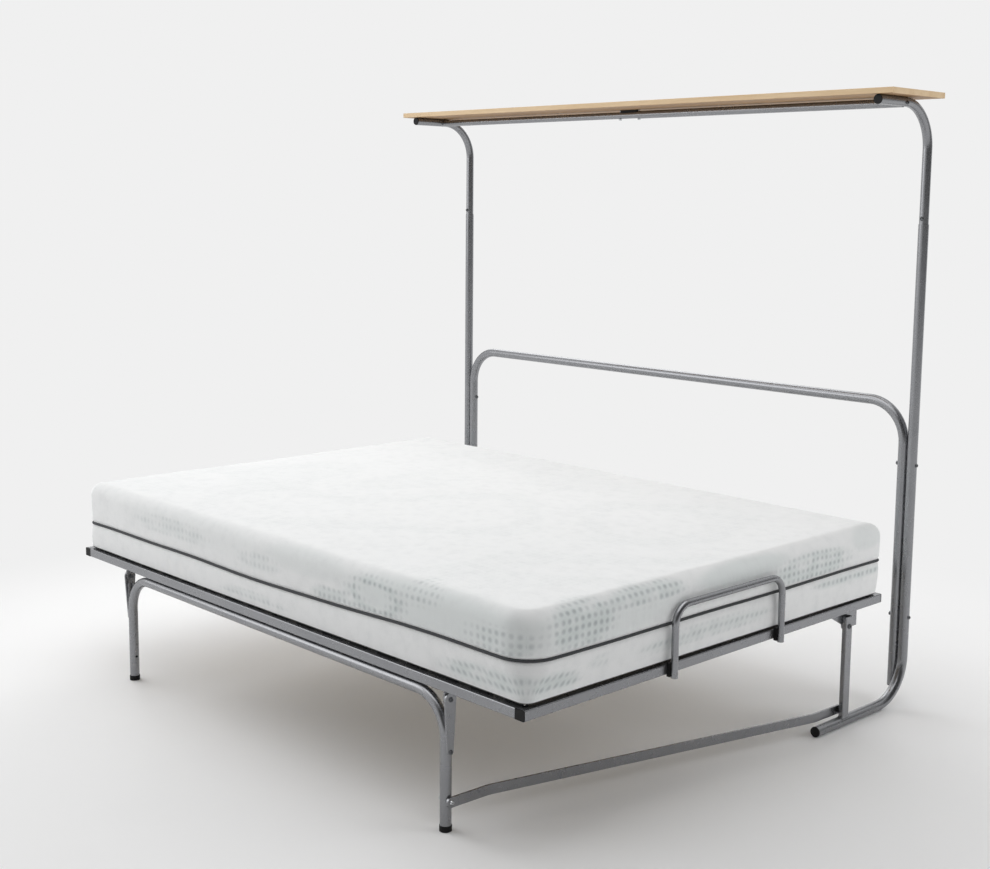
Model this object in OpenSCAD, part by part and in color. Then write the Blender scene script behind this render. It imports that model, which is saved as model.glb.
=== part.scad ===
// Fold-away wall bed. A free-standing tube stand carries a shelf on top. The bed frame turns up between
// its posts, lengthwise to the wall, and a link bar keeps the front leg hoop upright on the way.
// Millimetres, +X along the wall, +Y toward the wall, +Z up. Depths are given from the posts' axes.

/* [Stand] */
// Distance between the axes of the two posts
post_spacing = 1950; // [1800:10:2100]
// Outer diameter of the lower posts with their feet, and of the headboard hoop
tube_d = 30; // [28:1:34]
// Outer diameter of the upper posts with their arms
upper_d = 27; // [25:0.5:30]
// Wall thickness of the round tubes
tube_wall = 1.2; // [1:0.1:2]
// Centreline radius of the bends between foot, post and arm
post_bend_r = 125; // [100:5:150]
// Reach of each foot tube in front of the posts
foot_reach = 440; // [420:5:480]
// Height of the arms' axis
arm_z = 1755; // [1720:1:1850]
// Reach of each arm in front of the posts
arm_reach = 265; // [240:5:300]
// Height of the joint between lower and upper post
post_joint_z = 1418; // [1300:2:1480]
// Length of the lower post's spigot inside the upper post
spigot_len = 80; // [50:5:100]
// Height of the joint's screw above the joint
joint_screw_up = 16; // [10:1:30]
// Gap between tubes that slide together
slip_gap = 0.3; // [0.2:0.05:0.5]

/* [Headboard] */
// Height of the headboard hoop's top bar
headboard_z = 898; // [820:2:950]
// Height of the headboard hoop's lower ends
headboard_low_z = 45; // [40:1:100]
// Centreline radius of the headboard hoop's bends
headboard_bend_r = 118; // [90:2:140]
// Height of the lower pair of headboard bolts
headboard_bolt_low_z = 260; // [200:5:320]
// Height of the upper pair of headboard bolts
headboard_bolt_high_z = 718; // [650:2:740]

/* [Shelf] */
// Thickness of the shelf board
shelf_t = 16; // [12:1:25]
// Depth of the shelf board
shelf_depth = 270; // [250:5:280]
// Overhang of the shelf board beyond each post's axis
shelf_over = 54; // [30:2:80]
// Distance of the board's back edge in front of the posts' axes
shelf_back = 12; // [0:1:15]
// Rounding of the board's long edges
shelf_edge_r = 1.5; // [1:0.5:3]
// Outer diameter of the right half of the cross beam, which takes the left half's end
beam_d = 25; // [22:1:27]
// Distance of the cross beam in front of the posts
beam_y = 140; // [130:2:180]
// Drop of the cross beam's axis below the arms' axis
beam_drop = 3; // [0:0.5:5]
// Length that the left half of the beam slides into the right half
beam_lap = 60; // [40:5:100]
// Length of the block between beam and board
spacer_len = 70; // [40:5:100]
// Width of the block between beam and board
spacer_w = 16; // [12:1:20]
// Distance of the block's middle left of the bed's middle
spacer_x = 38; // [37:1:60]

/* [Bed frame] */
// Distance from each post's axis to the side rail's outer face
rail_over = 26; // [25:0.5:29]
// Width of the frame's rails
rail_w = 30; // [28:1:32]
// Height of the frame's rails
rail_h = 25; // [22:1:30]
// Wall thickness of the rails
rail_wall = 1.5; // [1.2:0.1:2.5]
// Outer corner radius of the rails
rail_r = 2.5; // [2:0.25:4]
// Height of the rails' underside
rail_z = 342; // [335:1:360]
// Distance of the frame's front face in front of the posts
frame_front = 1597; // [1500:5:1650]
// Distance of the frame's rear face in front of the posts
frame_rear = 174; // [165:1:185]
// Thickness of the visible flange of the rail end plugs
plug_flange = 3; // [2:0.5:5]
// Depth of the rail end plugs inside the rails
plug_depth = 14; // [8:1:20]
// Number of slats
slat_count = 17; // [13:1:19]
// Distance between the middles of neighbouring slats
slat_pitch = 114.5; // [90:0.5:115]
// Shift of the row of slats to the right of the bed's middle
slat_shift = 26; // [0:1:26]
// Width of a slat
slat_w = 50; // [40:1:60]
// Thickness of a slat
slat_t = 8; // [7:0.5:10]
// Height of the slats above the rails
slat_lift = 1.7; // [1.5:0.1:4]
// Wall thickness of the slat holders
holder_wall = 2; // [1.5:0.25:2.5]
// Length of the slat held in each holder
holder_grip = 20; // [16:1:20]
// Distance of the slat holders from the rail's outer face
holder_set = 24; // [16:0.5:26]

/* [Bed pivot] */
// Distance of the bed's turning axis in front of the posts
pivot_y = 310; // [306:1:330]
// Height of the bed's turning axis below the rails' underside
pivot_drop = 47; // [40:1:50]
// Thickness of the support legs
support_t = 15; // [12:1:18]
// Width of the support legs, front to back
support_w = 30; // [26:1:32]
// Height of the support legs above the turning axis
support_above = 28; // [18:1:30]
// Thickness of the pivot brackets
bracket_t = 5; // [4:0.5:5]
// Length of a pivot bracket in front of the turning axis, at the rail
bracket_front = 92; // [60:2:120]
// Length of a pivot bracket's bottom edge
bracket_low = 46; // [40:1:60]
// Length of a pivot bracket behind the turning axis
bracket_rear = 58; // [40:2:70]
// Depth of a pivot bracket below the rail
bracket_drop = 57; // [50:1:62]
// Radius of the bracket's lobe round the turning axis
bracket_lobe_r = 12; // [10:0.5:14]
// Diameter of the turning bolts
pivot_bolt_d = 10; // [8:0.5:12]

/* [Front legs] */
// Distance from each post's axis in to the front leg's axis
leg_in = 246; // [200:1:350]
// Outer diameter of the leg hoop's tube
leg_d = 28; // [25:1:28]
// Distance of the legs' axis behind the frame's front face
leg_set = 11; // [8:1:17]
// Centreline radius of the leg hoop's bends
leg_bend_r = 100; // [80:2:130]
// Height of the leg hoop's turning axis below the rails' underside
leg_pivot_drop = 18; // [18:1:22]
// Thickness of the leg plates and of the lugs that carry them
leg_plate_t = 5; // [4:0.5:6]
// Length of the leg plates from the turning axis to the lower screw
leg_plate_len = 127; // [110:1:150]
// Radius of the leg plates' lower end
leg_plate_end_r = 9; // [8:0.5:11]
// Height of the rubber feet
foot_h = 14; // [10:1:20]
// Wall thickness of the rubber feet
foot_wall = 1.2; // [1:0.1:2]

/* [Link bar] */
// Distance from the turning axes down to the link bar's pivots
link_arm = 249; // [240:1:252]
// Height of the link bar's section
link_h = 25; // [20:1:26]
// Thickness of the link bar
link_t = 6; // [5:0.5:9]
// Length of the link bar's straight ends
link_end = 120; // [100:5:200]
// Bend radius of the link bar
link_bend_r = 120; // [60:5:200]
// Diameter of the link bar's bolts
link_bolt_d = 8; // [6:0.5:10]
// Radial clearance of the link bar's front pivot
link_play = 0.4; // [0.3:0.05:0.6]

/* [Mattress retainers] */
// Diameter of the retainer hoops' tube
retainer_d = 18; // [14:0.5:20]
// Height of the retainer hoops' top bar
retainer_z = 512; // [480:1:550]
// Distance of the retainer's front leg in front of the posts
retainer_front = 1106; // [1000:2:1200]
// Width of the retainer hoops, from leg to leg
retainer_w = 430; // [300:5:500]
// Centreline radius of the retainer hoops' bends
retainer_bend_r = 48; // [30:1:60]
// Length of the retainer hoops' legs below the rail
retainer_below = 8; // [4:1:12]
// Thickness of the clamp blocks between rail and retainer
clamp_t = 4; // [3:0.5:8]
// Width of the clamp blocks
clamp_w = 28; // [22:1:34]
// Height of the clamp blocks
clamp_h = 34; // [28:1:40]

/* [Mattress] */
// Thickness of the mattress at its edge
mattress_h = 199; // [160:1:204]
// Distance of the mattress's ends inside the frame's side faces
mattress_end_in = 1.5; // [1:0.5:10]
// Distance of the mattress's long front side inside the frame's front face
mattress_front_in = 7; // [5:1:20]
// Distance of the mattress's rear side in front of the frame's rear face
mattress_rear_in = 3; // [2:1:20]
// Height of the crown in the middle of the mattress
mattress_crown = 4; // [0:0.5:6]
// Radius of the mattress's upright corners
mattress_corner_r = 50; // [40:1:80]
// Radius of the mattress's top edge
mattress_top_r = 58; // [56:1:70]
// Radius of the mattress's bottom edge
mattress_bottom_r = 8; // [5:1:16]
// Depth to which the seams draw the mattress's sides in
mattress_draw = 3; // [2:0.5:6]
// Height of the piping above the mattress's underside
piping_z = 85; // [70:1:100]
// Diameter of the piping
piping_d = 8; // [7:0.5:11]

/* [Fasteners] */
// Diameter of the screws in posts, headboard, beam and retainers
screw_d = 6; // [5:0.5:8]
// Diameter of the bolts' and screws' heads
head_d = 12; // [11:0.5:13]
// Height of the bolts' and screws' heads
head_h = 3.5; // [2:0.5:5]
// Height of the nuts
nut_h = 5; // [4:0.5:6]
// Radial clearance of a bolt in its hole
bolt_play = 0.05; // [0.02:0.01:0.1]

/* [Hidden] */
$fn = 48;

steel = "#9a9c9e";
dark_steel = "#6c6e70";
bright_steel = "#c9cbcd";
black_plastic = "#1c1c1d";
board_wood = "#cdb08a";
slat_wood = "#d9bd8f";
cover_white = "#eef0f0";
piping_grey = "#4a4c4e";

sides = [-1, 1];
post_x = post_spacing / 2;
tube_r = tube_d / 2;
upper_r = upper_d / 2;
spigot_d = upper_d - 2 * tube_wall - 2 * slip_gap;
spigot_shoulder = 3;
foot_z = tube_r;

// Where the headboard hoop's uprights stand, close inside the posts
hoop_gap = 0.4;
hoop_x = post_x - tube_d - hoop_gap;

// Bed frame faces
frame_x = post_x + rail_over;
rail_in_x = frame_x - rail_w;
rail_top_z = rail_z + rail_h;
inner_front = frame_front - rail_w;
inner_rear = frame_rear + rail_w;
slat_z = rail_top_z + slat_lift;
slat_top_z = slat_z + slat_t;
holder_fit = 0.3;
holder_w = slat_w + 2 * holder_fit + 2 * holder_wall;
holder_front_y = frame_front - holder_set;
holder_rear_y = frame_rear + holder_set;

// Turning axes
pivot_z = rail_z - pivot_drop;
leg_x = post_x - leg_in;
leg_y = frame_front - leg_set;
leg_pivot_z = rail_z - leg_pivot_drop;
link_rear_z = pivot_z - link_arm;
link_front_z = leg_pivot_z - link_arm;
leg_r = leg_d / 2;

// Gaps between pieces that turn past each other
side_gap = 0.7;
bracket_x = rail_in_x - bracket_t;
support_x = rail_in_x + side_gap;
pin_head_h = 1.6;
link_rear_x = bracket_x - 2 * side_gap - pin_head_h - link_t;
plate_seat = 2;
plate_in_x = leg_x + leg_r - plate_seat;
leg_plate_screw_l = plate_in_x + leg_plate_t - leg_x - leg_r / 2;
plate_r = leg_pivot_drop - 1;
lug_r = plate_r - 3;
lug_in_x = plate_in_x - side_gap - leg_plate_t;
link_front_x = leg_x + leg_r + foot_wall + side_gap;
// Extra radius of the link bar's eyes
link_eye = 0.5;

// Mattress
mattress_z = slat_top_z + 0.3;
mattress_x = frame_x - mattress_end_in;
mattress_front = frame_front - mattress_front_in;
mattress_rear = frame_rear + mattress_rear_in;
mattress_mid_y = (mattress_front + mattress_rear) / 2;
mattress_half_y = (mattress_front - mattress_rear) / 2;

// Retainers
retainer_x = frame_x + clamp_t + retainer_d / 2;
retainer_wall = 1.2;

// Cross beam
beam_z = arm_z - beam_drop;
beam_left_d = beam_d - 2 * tube_wall - 2 * slip_gap;
beam_plug = 12;
shelf_z = arm_z + upper_r;
spacer_screw_gap = 3;

// The origin lies under the middle of the bed's whole depth
depth_front = max(leg_y + plate_r, frame_front, leg_y + leg_r + foot_wall);
mid_y = (depth_front - tube_r) / 2;

function unit(v) = v / norm(v);
function bend_angle(p, i) = acos(unit(p[i] - p[i - 1]) * unit(p[i + 1] - p[i]));
function cut_back(p, i, r) = i == 0 || i == len(p) - 1 ? 0 : r * tan(bend_angle(p, i) / 2);

// Points of an arc about c, in n steps
function arc(c, r, from, to, n) =
    [for (k = [0 : n]) let (a = from + (to - from) * k / n) c + r * [cos(a), sin(a)]];

// Puts what it holds at o, with its x and y axes along the given unit vectors
module place(o, x, y) {
    z = cross(x, y);
    multmatrix([[x[0], y[0], z[0], o[0]], [x[1], y[1], z[1], o[1]], [x[2], y[2], z[2], o[2]], [0, 0, 0, 1]])
        children();
}

// Sweeps a profile along points in one plane with the normal n, and bends each inner corner to radius r
module sweep(points, r, n) {
    last = len(points) - 1;
    for (i = [0 : last - 1]) {
        dir = unit(points[i + 1] - points[i]);
        a = points[i] + dir * cut_back(points, i, r);
        b = points[i + 1] - dir * cut_back(points, i + 1, r);
        place(a, cross(n, dir), n)
            linear_extrude(height = norm(b - a))
                children();
    }
    for (i = [1 : 1 : last - 1]) {
        dir = unit(points[i] - points[i - 1]);
        axis = unit(cross(dir, points[i + 1] - points[i]));
        inward = cross(axis, dir);
        place(points[i] - dir * cut_back(points, i, r) + inward * r, -inward, dir)
            rotate_extrude(angle = bend_angle(points, i))
                translate([r, 0])
                    children();
    }
}

module ring(d, wall) {
    difference() {
        circle(d = d);
        circle(d = d - 2 * wall);
    }
}

module rounded(w, h, r) {
    square([w - 2 * r, h], center = true);
    square([w, h - 2 * r], center = true);
    for (x = sides, y = sides)
        translate([x * (w / 2 - r), y * (h / 2 - r)])
            circle(r = r);
}

module rail_section() {
    difference() {
        rounded(rail_w, rail_h, rail_r);
        rounded(rail_w - 2 * rail_wall, rail_h - 2 * rail_wall, rail_r - rail_wall / 2);
    }
}

// Turns what stands along Z to lie along X, Y or back along Y, starting at o
module along_x(o) {
    translate(o)
        rotate([0, 90, 0])
            children();
}

module along_y(o) {
    translate(o)
        rotate([-90, 0, 0])
            children();
}

// Low head with a hexagon socket, standing on z = 0
module bolt_head(d) {
    difference() {
        cylinder(d1 = d, d2 = d * 0.72, h = head_h);
        translate([0, 0, head_h * 0.4])
            cylinder(d = d * 0.42, h = head_h, $fn = 6);
    }
}

// Bolt from z = 0 to z = grip, with its head above and its nut below
module bolt(d, grip, hd = head_d) {
    translate([0, 0, -nut_h])
        cylinder(d = d, h = nut_h + grip);
    translate([0, 0, grip])
        bolt_head(hd);
    translate([0, 0, -nut_h])
        cylinder(d = hd, h = nut_h, $fn = 6);
}

// Puts a copy at each side of the bed; s is -1 on the left and 1 on the right
module at_side(s) {
    mirror([s < 0 ? 1 : 0, 0, 0])
        children();
}

module both_sides() {
    for (s = sides)
        at_side(s)
            children();
}

// Moves the model from the posts' plane to its own origin
module in_frame() {
    translate([0, mid_y, 0])
        children();
}

module steel_part() {
    color(steel)
        in_frame()
            children();
}

// Stand

module lower_post(s) {
    steel_part()
        at_side(s)
            difference() {
                union() {
                    sweep([[post_x, -foot_reach, foot_z], [post_x, 0, foot_z], [post_x, 0, post_joint_z]],
                          post_bend_r, [1, 0, 0])
                        ring(tube_d, tube_wall);
                    translate([post_x, 0, post_joint_z - spigot_shoulder])
                        linear_extrude(height = spigot_shoulder)
                            ring(tube_d, tube_r - spigot_d / 2 + tube_wall);
                    translate([post_x, 0, post_joint_z - spigot_shoulder])
                        linear_extrude(height = spigot_len + spigot_shoulder)
                            ring(spigot_d, tube_wall);
                }
                headboard_holes();
                joint_screw_hole();
            }
}

module upper_post(s) {
    steel_part()
        at_side(s)
            difference() {
                sweep([[post_x, 0, post_joint_z], [post_x, 0, arm_z], [post_x, -arm_reach, arm_z]],
                      post_bend_r, [1, 0, 0])
                    ring(upper_d, tube_wall);
                joint_screw_hole();
                beam_bolt_hole();
            }
}

module headboard_holes() {
    for (z = [headboard_bolt_low_z, headboard_bolt_high_z])
        along_x([hoop_x - tube_d, 0, z])
            cylinder(d = screw_d + 2 * bolt_play, h = 3 * tube_d);
}

// The joint's screw comes from the front and ends inside the post
module joint_screw_hole() {
    along_y([post_x, -upper_d, post_joint_z + joint_screw_up])
        cylinder(d = screw_d + 2 * bolt_play, h = upper_d);
}

module beam_bolt_hole() {
    along_x([post_x - upper_r - 2 * beam_plug, -beam_y, beam_z])
        cylinder(d = screw_d + 2 * bolt_play, h = 2 * upper_d + 2 * beam_plug);
}

module headboard_hoop() {
    steel_part()
        difference() {
            sweep([[-hoop_x, 0, headboard_low_z], [-hoop_x, 0, headboard_z],
                   [hoop_x, 0, headboard_z], [hoop_x, 0, headboard_low_z]],
                  headboard_bend_r, [0, 1, 0])
                ring(tube_d, tube_wall);
            both_sides()
                headboard_holes();
        }
}

module foot_tube_space() {
    along_y([post_x, -foot_reach, foot_z])
        cylinder(d = tube_d, h = foot_reach);
}

module support_leg(s) {
    steel_part()
        at_side(s)
            difference() {
                translate([support_x + support_t / 2, -pivot_y, foot_z])
                    linear_extrude(height = pivot_z + support_above - foot_z)
                        difference() {
                            rounded(support_t, support_w, rail_r);
                            rounded(support_t - 2 * rail_wall, support_w - 2 * rail_wall, rail_r - rail_wall / 2);
                        }
                foot_tube_space();
                along_x([support_x - 1, -pivot_y, pivot_z])
                    cylinder(d = pivot_bolt_d + 2 * bolt_play, h = support_t + 2);
                if (s > 0)
                    along_x([support_x - 1, -pivot_y, link_rear_z])
                        cylinder(d = link_bolt_d + 2 * bolt_play, h = support_t / 2 + 1);
            }
}

// Beam half from the arm to x_end, measured toward the other side; its plug takes the beam bolt
module beam_half(s, d, x_end) {
    steel_part()
        at_side(s)
            difference() {
                translate([x_end, -beam_y, beam_z])
                    rotate([0, 90, 0]) {
                        linear_extrude(height = post_x - x_end)
                            ring(d, tube_wall);
                        translate([0, 0, post_x - upper_r - beam_plug - x_end])
                            cylinder(d = d - tube_wall, h = beam_plug);
                    }
                along_y([post_x, -beam_y - upper_d, arm_z])
                    cylinder(d = upper_d, h = 2 * upper_d);
                beam_bolt_hole();
                shelf_screw_places(s)
                    translate([0, 0, -beam_d])
                        cylinder(d = screw_d + 2 * bolt_play, h = 2 * beam_d);
            }
}

// The two shelf screws, seen from side s
module shelf_screw_places(s) {
    reach = spacer_len / 2 + spacer_screw_gap + screw_d / 2;
    for (x = [-spacer_x - reach, -spacer_x + reach])
        translate([s * x, -beam_y, beam_z])
            children();
}

module shelf_board() {
    color(board_wood)
        in_frame()
            difference() {
                translate([-post_x - shelf_over, -shelf_back - shelf_depth / 2, shelf_z + shelf_t / 2])
                    rotate([90, 0, 90])
                        linear_extrude(height = 2 * (post_x + shelf_over))
                            rounded(shelf_depth, shelf_t, shelf_edge_r);
                shelf_screw_places(1)
                    cylinder(d = screw_d + 2 * bolt_play, h = shelf_z - beam_z + shelf_t * 0.75);
            }
}

module shelf_spacer() {
    color(black_plastic)
        in_frame()
            difference() {
                translate([-spacer_x - spacer_len / 2, -beam_y - spacer_w / 2, beam_z])
                    cube([spacer_len, spacer_w, shelf_z - beam_z]);
                along_x([-spacer_x - spacer_len, -beam_y, beam_z])
                    cylinder(d = beam_left_d, h = spacer_len * 2);
                along_x([0, -beam_y, beam_z])
                    cylinder(d = beam_d, h = spacer_len);
            }
}

// Screws go up through the beam into the board; their heads sit under the beam
module shelf_screws() {
    color(bright_steel)
        in_frame()
            shelf_screw_places(1) {
                translate([0, 0, -beam_d / 2])
                    cylinder(d = screw_d, h = beam_d / 2 + shelf_z - beam_z + shelf_t * 0.7);
                translate([0, 0, -beam_d / 2])
                    rotate([180, 0, 0])
                        bolt_head(head_d);
            }
}

// Round plug for a tube's end; its flange stands below z = 0 and its stub above
module round_plug(d, wall, flange, depth) {
    translate([0, 0, -flange])
        cylinder(d1 = d - 1, d2 = d, h = flange);
    cylinder(d = d - 2 * wall - 2 * slip_gap, h = depth);
}

module tube_end_caps() {
    color(black_plastic)
        in_frame()
            both_sides() {
                along_y([post_x, -foot_reach, foot_z])
                    round_plug(tube_d, tube_wall, plug_flange, plug_depth);
                along_y([post_x, -arm_reach, arm_z])
                    round_plug(upper_d, tube_wall, plug_flange, plug_depth);
            }
}

module hoop_end_caps() {
    color(black_plastic)
        in_frame()
            both_sides()
                translate([hoop_x, 0, headboard_low_z])
                    round_plug(tube_d, tube_wall, plug_flange, plug_depth);
}

// Fasteners of the stand

module post_joint_screws() {
    color(dark_steel)
        in_frame()
            both_sides()
                translate([post_x, 0, post_joint_z + joint_screw_up])
                    rotate([90, 0, 0]) {
                        cylinder(d = screw_d, h = upper_r);
                        translate([0, 0, upper_r])
                            bolt_head(head_d);
                    }
}

module headboard_bolts() {
    color(dark_steel)
        in_frame()
            both_sides()
                for (z = [headboard_bolt_low_z, headboard_bolt_high_z])
                    along_x([hoop_x - tube_r, 0, z])
                        bolt(screw_d, post_x - hoop_x + tube_d);
}

module beam_bolts() {
    color(dark_steel)
        in_frame()
            both_sides()
                along_x([post_x - upper_r - beam_plug, -beam_y, beam_z]) {
                    cylinder(d = screw_d, h = upper_d + beam_plug);
                    translate([0, 0, upper_d + beam_plug])
                        bolt_head(head_d);
                }
}

// The bed's turning pin runs through support leg and bracket, with a flat head inside the bracket
module bed_pivot_bolts() {
    reach = support_x + support_t - bracket_x + side_gap + pin_head_h;
    color(dark_steel)
        in_frame()
            both_sides()
                along_x([bracket_x - side_gap - pin_head_h, -pivot_y, pivot_z]) {
                    cylinder(d = pivot_bolt_d, h = reach);
                    cylinder(d = head_d * 1.3, h = pin_head_h);
                    translate([0, 0, reach])
                        bolt_head(head_d * 1.3);
                }
}

// Bolt screwed into the support leg's inner wall, with its head inside the link bar
module link_rear_bolts() {
    color(dark_steel)
        in_frame()
            along_x([link_rear_x - side_gap / 2, -pivot_y, link_rear_z]) {
                cylinder(d = link_bolt_d, h = support_x + support_t / 2 - link_rear_x);
                rotate([180, 0, 0])
                    bolt_head(head_d * 1.1);
            }
}

module link_spacers() {
    color(black_plastic)
        in_frame()
            along_x([link_rear_x + link_t + side_gap / 2, -pivot_y, link_rear_z])
                difference() {
                    cylinder(d = link_bolt_d * 2.2, h = support_x - link_rear_x - link_t - side_gap / 2);
                    translate([0, 0, -1])
                        cylinder(d = link_bolt_d + 2 * bolt_play, h = support_x - link_rear_x);
                }
}

// Bed frame

module side_rail(s) {
    steel_part()
        at_side(s)
            difference() {
                translate([frame_x - rail_w / 2, -frame_rear - plug_flange, rail_z + rail_h / 2])
                    rotate([90, 0, 0])
                        linear_extrude(height = frame_front - frame_rear - 2 * plug_flange)
                            rail_section();
                retainer_holes();
            }
}

// Cross rail between the side rails, with its front face at y = -front and its underside at z
module cross_rail(front, z) {
    translate([-rail_in_x, -front + rail_w / 2, z + rail_h / 2])
        rotate([90, 0, 90])
            linear_extrude(height = 2 * rail_in_x)
                rail_section();
}

module foot_rail() {
    steel_part()
        cross_rail(frame_front, rail_z);
}

module head_rail() {
    steel_part()
        cross_rail(frame_rear + rail_w, rail_z);
}

// The centre rail lies higher than the others, right under the slats
module centre_rail() {
    steel_part()
        cross_rail((frame_front + frame_rear + rail_w) / 2, rail_z + slat_lift);
}

module rail_plug() {
    translate([0, 0, -plug_flange])
        linear_extrude(height = plug_flange)
            rounded(rail_w, rail_h, rail_r);
    linear_extrude(height = plug_depth)
        rounded(rail_w - 2 * rail_wall - 2 * slip_gap, rail_h - 2 * rail_wall - 2 * slip_gap, rail_r / 2);
}

module rail_end_plugs() {
    color(black_plastic)
        in_frame()
            both_sides()
                for (end = [[frame_front - plug_flange, 0], [frame_rear + plug_flange, 180]])
                    translate([frame_x - rail_w / 2, -end[0], rail_z + rail_h / 2])
                        rotate([-90, 0, end[1]])
                            rail_plug();
}

// Plate on the rail's inner face: a long gusset with a lobe round the turning axis
module pivot_bracket(s) {
    steel_part()
        at_side(s)
            translate([bracket_x, 0, 0])
                rotate([90, 0, 90])
                    linear_extrude(height = bracket_t)
                        difference() {
                            union() {
                                polygon([
                                    [-pivot_y - bracket_front, rail_z],
                                    [-pivot_y + bracket_rear - bracket_low, rail_z - bracket_drop],
                                    [-pivot_y + bracket_rear, rail_z - bracket_drop],
                                    [-pivot_y + bracket_rear, rail_z + rail_h - rail_r],
                                    [-pivot_y - bracket_front, rail_z + rail_h - rail_r]
                                ]);
                                translate([-pivot_y, pivot_z])
                                    circle(r = bracket_lobe_r);
                            }
                            translate([-pivot_y, pivot_z])
                                circle(d = pivot_bolt_d + 2 * bolt_play);
                        }
}

// Plate with two round ends of radius r1 and r2, whose middles are len apart downward
module tapered_plate(r1, r2, len, t) {
    a = asin((r1 - r2) / len);
    linear_extrude(height = t)
        polygon(concat(arc([0, 0], r1, -a, 180 + a, 18), arc([0, -len], r2, 180 + a, 360 - a, 12)));
}

module leg_lugs() {
    steel_part()
        both_sides()
            translate([lug_in_x, -leg_y, leg_pivot_z])
                rotate([90, 0, 90])
                    linear_extrude(height = leg_plate_t)
                        difference() {
                            union() {
                                circle(r = lug_r);
                                translate([-lug_r, 0])
                                    square([2 * lug_r, leg_pivot_drop]);
                            }
                            circle(d = link_bolt_d + 2 * bolt_play);
                        }
}

module leg_pivot_bolts() {
    color(dark_steel)
        in_frame()
            both_sides()
                along_x([lug_in_x, -leg_y, leg_pivot_z])
                    bolt(link_bolt_d, plate_in_x + leg_plate_t + side_gap / 2 - lug_in_x);
}

function slat_x(i) = slat_shift + (i - (slat_count - 1) / 2) * slat_pitch;

module slats() {
    color(slat_wood)
        in_frame()
            for (i = [0 : slat_count - 1])
                translate([slat_x(i), -holder_rear_y - holder_wall - holder_fit, slat_z + slat_t / 2])
                    rotate([90, 0, 0])
                        linear_extrude(height = holder_front_y - holder_rear_y - 2 * (holder_wall + holder_fit))
                            rounded(slat_w, slat_t, 2);
}

// Open-topped pocket on the rail that takes a slat's end; its closed end lies at y = 0
module slat_holder() {
    difference() {
        translate([-holder_w / 2, 0, 0])
            cube([holder_w, holder_grip, slat_lift + slat_t]);
        translate([-holder_w / 2 + holder_wall, holder_wall, slat_lift])
            cube([holder_w - 2 * holder_wall, holder_grip, slat_t + 1]);
    }
}

module slat_holders() {
    color(black_plastic)
        in_frame()
            for (i = [0 : slat_count - 1]) {
                translate([slat_x(i), -holder_front_y, rail_top_z])
                    slat_holder();
                translate([slat_x(i), -holder_rear_y, rail_top_z])
                    mirror([0, 1, 0])
                        slat_holder();
            }
}

// Mattress retainers

function retainer_legs() = [retainer_front, retainer_front - retainer_w];

module retainer_holes() {
    for (y = retainer_legs())
        along_x([rail_in_x - 1, -y, rail_z + rail_h / 2])
            cylinder(d = screw_d + 2 * bolt_play, h = rail_w + clamp_t + retainer_d / 2 + 1);
}

module retainer(s) {
    legs = retainer_legs();
    low = rail_z - retainer_below;
    steel_part()
        at_side(s)
            difference() {
                sweep([[retainer_x, -legs[0], low], [retainer_x, -legs[0], retainer_z],
                       [retainer_x, -legs[1], retainer_z], [retainer_x, -legs[1], low]],
                      retainer_bend_r, [1, 0, 0])
                    ring(retainer_d, retainer_wall);
                retainer_holes();
            }
}

// Block that lies against the rail and cups the retainer's leg
module retainer_clamps() {
    color(black_plastic)
        in_frame()
            both_sides()
                for (y = retainer_legs())
                    difference() {
                        translate([frame_x, -y - clamp_w / 2, rail_z - retainer_below / 2])
                            cube([clamp_t + retainer_d * 0.3, clamp_w, clamp_h]);
                        translate([retainer_x, -y, rail_z - retainer_d])
                            cylinder(d = retainer_d, h = clamp_h + 2 * retainer_d);
                        retainer_holes();
                    }
}

// Screws from the rail's inner face into the retainer's legs
module retainer_bolts() {
    color(dark_steel)
        in_frame()
            both_sides()
                for (y = retainer_legs())
                    along_x([rail_in_x, -y, rail_z + rail_h / 2]) {
                        cylinder(d = screw_d, h = rail_w + clamp_t + retainer_d / 2 - 1);
                        rotate([180, 0, 0])
                            bolt_head(head_d);
                    }
}

// Mattress: rings of a rounded rectangle, one above the other

corner_steps = 7;
function corner_points(x, y, r, turn) =
    [for (k = [0 : corner_steps]) let (a = turn + 90 * k / corner_steps) [x + r * cos(a), y + r * sin(a)]];
function mattress_ring(in, z) =
    let (x = mattress_x - mattress_corner_r, y = mattress_half_y - mattress_corner_r,
         r = mattress_corner_r - in, s = max(r, 8), d = min(r - s, 0))
    [for (p = concat(corner_points(x + d, y + d, s, 0), corner_points(-x - d, y + d, s, 90),
                     corner_points(-x - d, -y - d, s, 180), corner_points(x + d, -y - d, s, 270)))
        [p[0], p[1], z]];

// Swell of the side between two seams, as the inset at share u of the height from one to the other
function seam_inset(u) = mattress_draw * (1 - sin(180 * u));
band_steps = 5;
edge_steps = 5;
crown_steps = [[0.25, 0.45], [0.6, 0.8]];
function side_levels() = concat(
    [for (k = [0 : 2]) let (a = 90 * k / 3)
        [mattress_draw + mattress_bottom_r * (1 - sin(a)), mattress_bottom_r * (1 - cos(a))]],
    [for (k = [1 : band_steps]) let (u = k / band_steps, z0 = mattress_bottom_r)
        [u < 1 ? seam_inset(u) : mattress_draw + piping_d * 0.4, z0 + (piping_z - z0) * u]],
    [for (k = [1 : band_steps - 1]) let (u = k / band_steps, z0 = piping_z)
        [seam_inset(u / 2 + 0.02), z0 + (mattress_h - mattress_top_r - z0) * u]]);
function edge_levels() = [for (k = [0 : edge_steps]) let (a = 90 * k / edge_steps)
    [mattress_top_r * (1 - cos(a)), mattress_h - mattress_top_r + mattress_top_r * sin(a)]];
function crown_levels() = [for (c = crown_steps)
    [mattress_top_r + (mattress_half_y - mattress_top_r) * c[0], mattress_h + mattress_crown * c[1]]];

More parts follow.
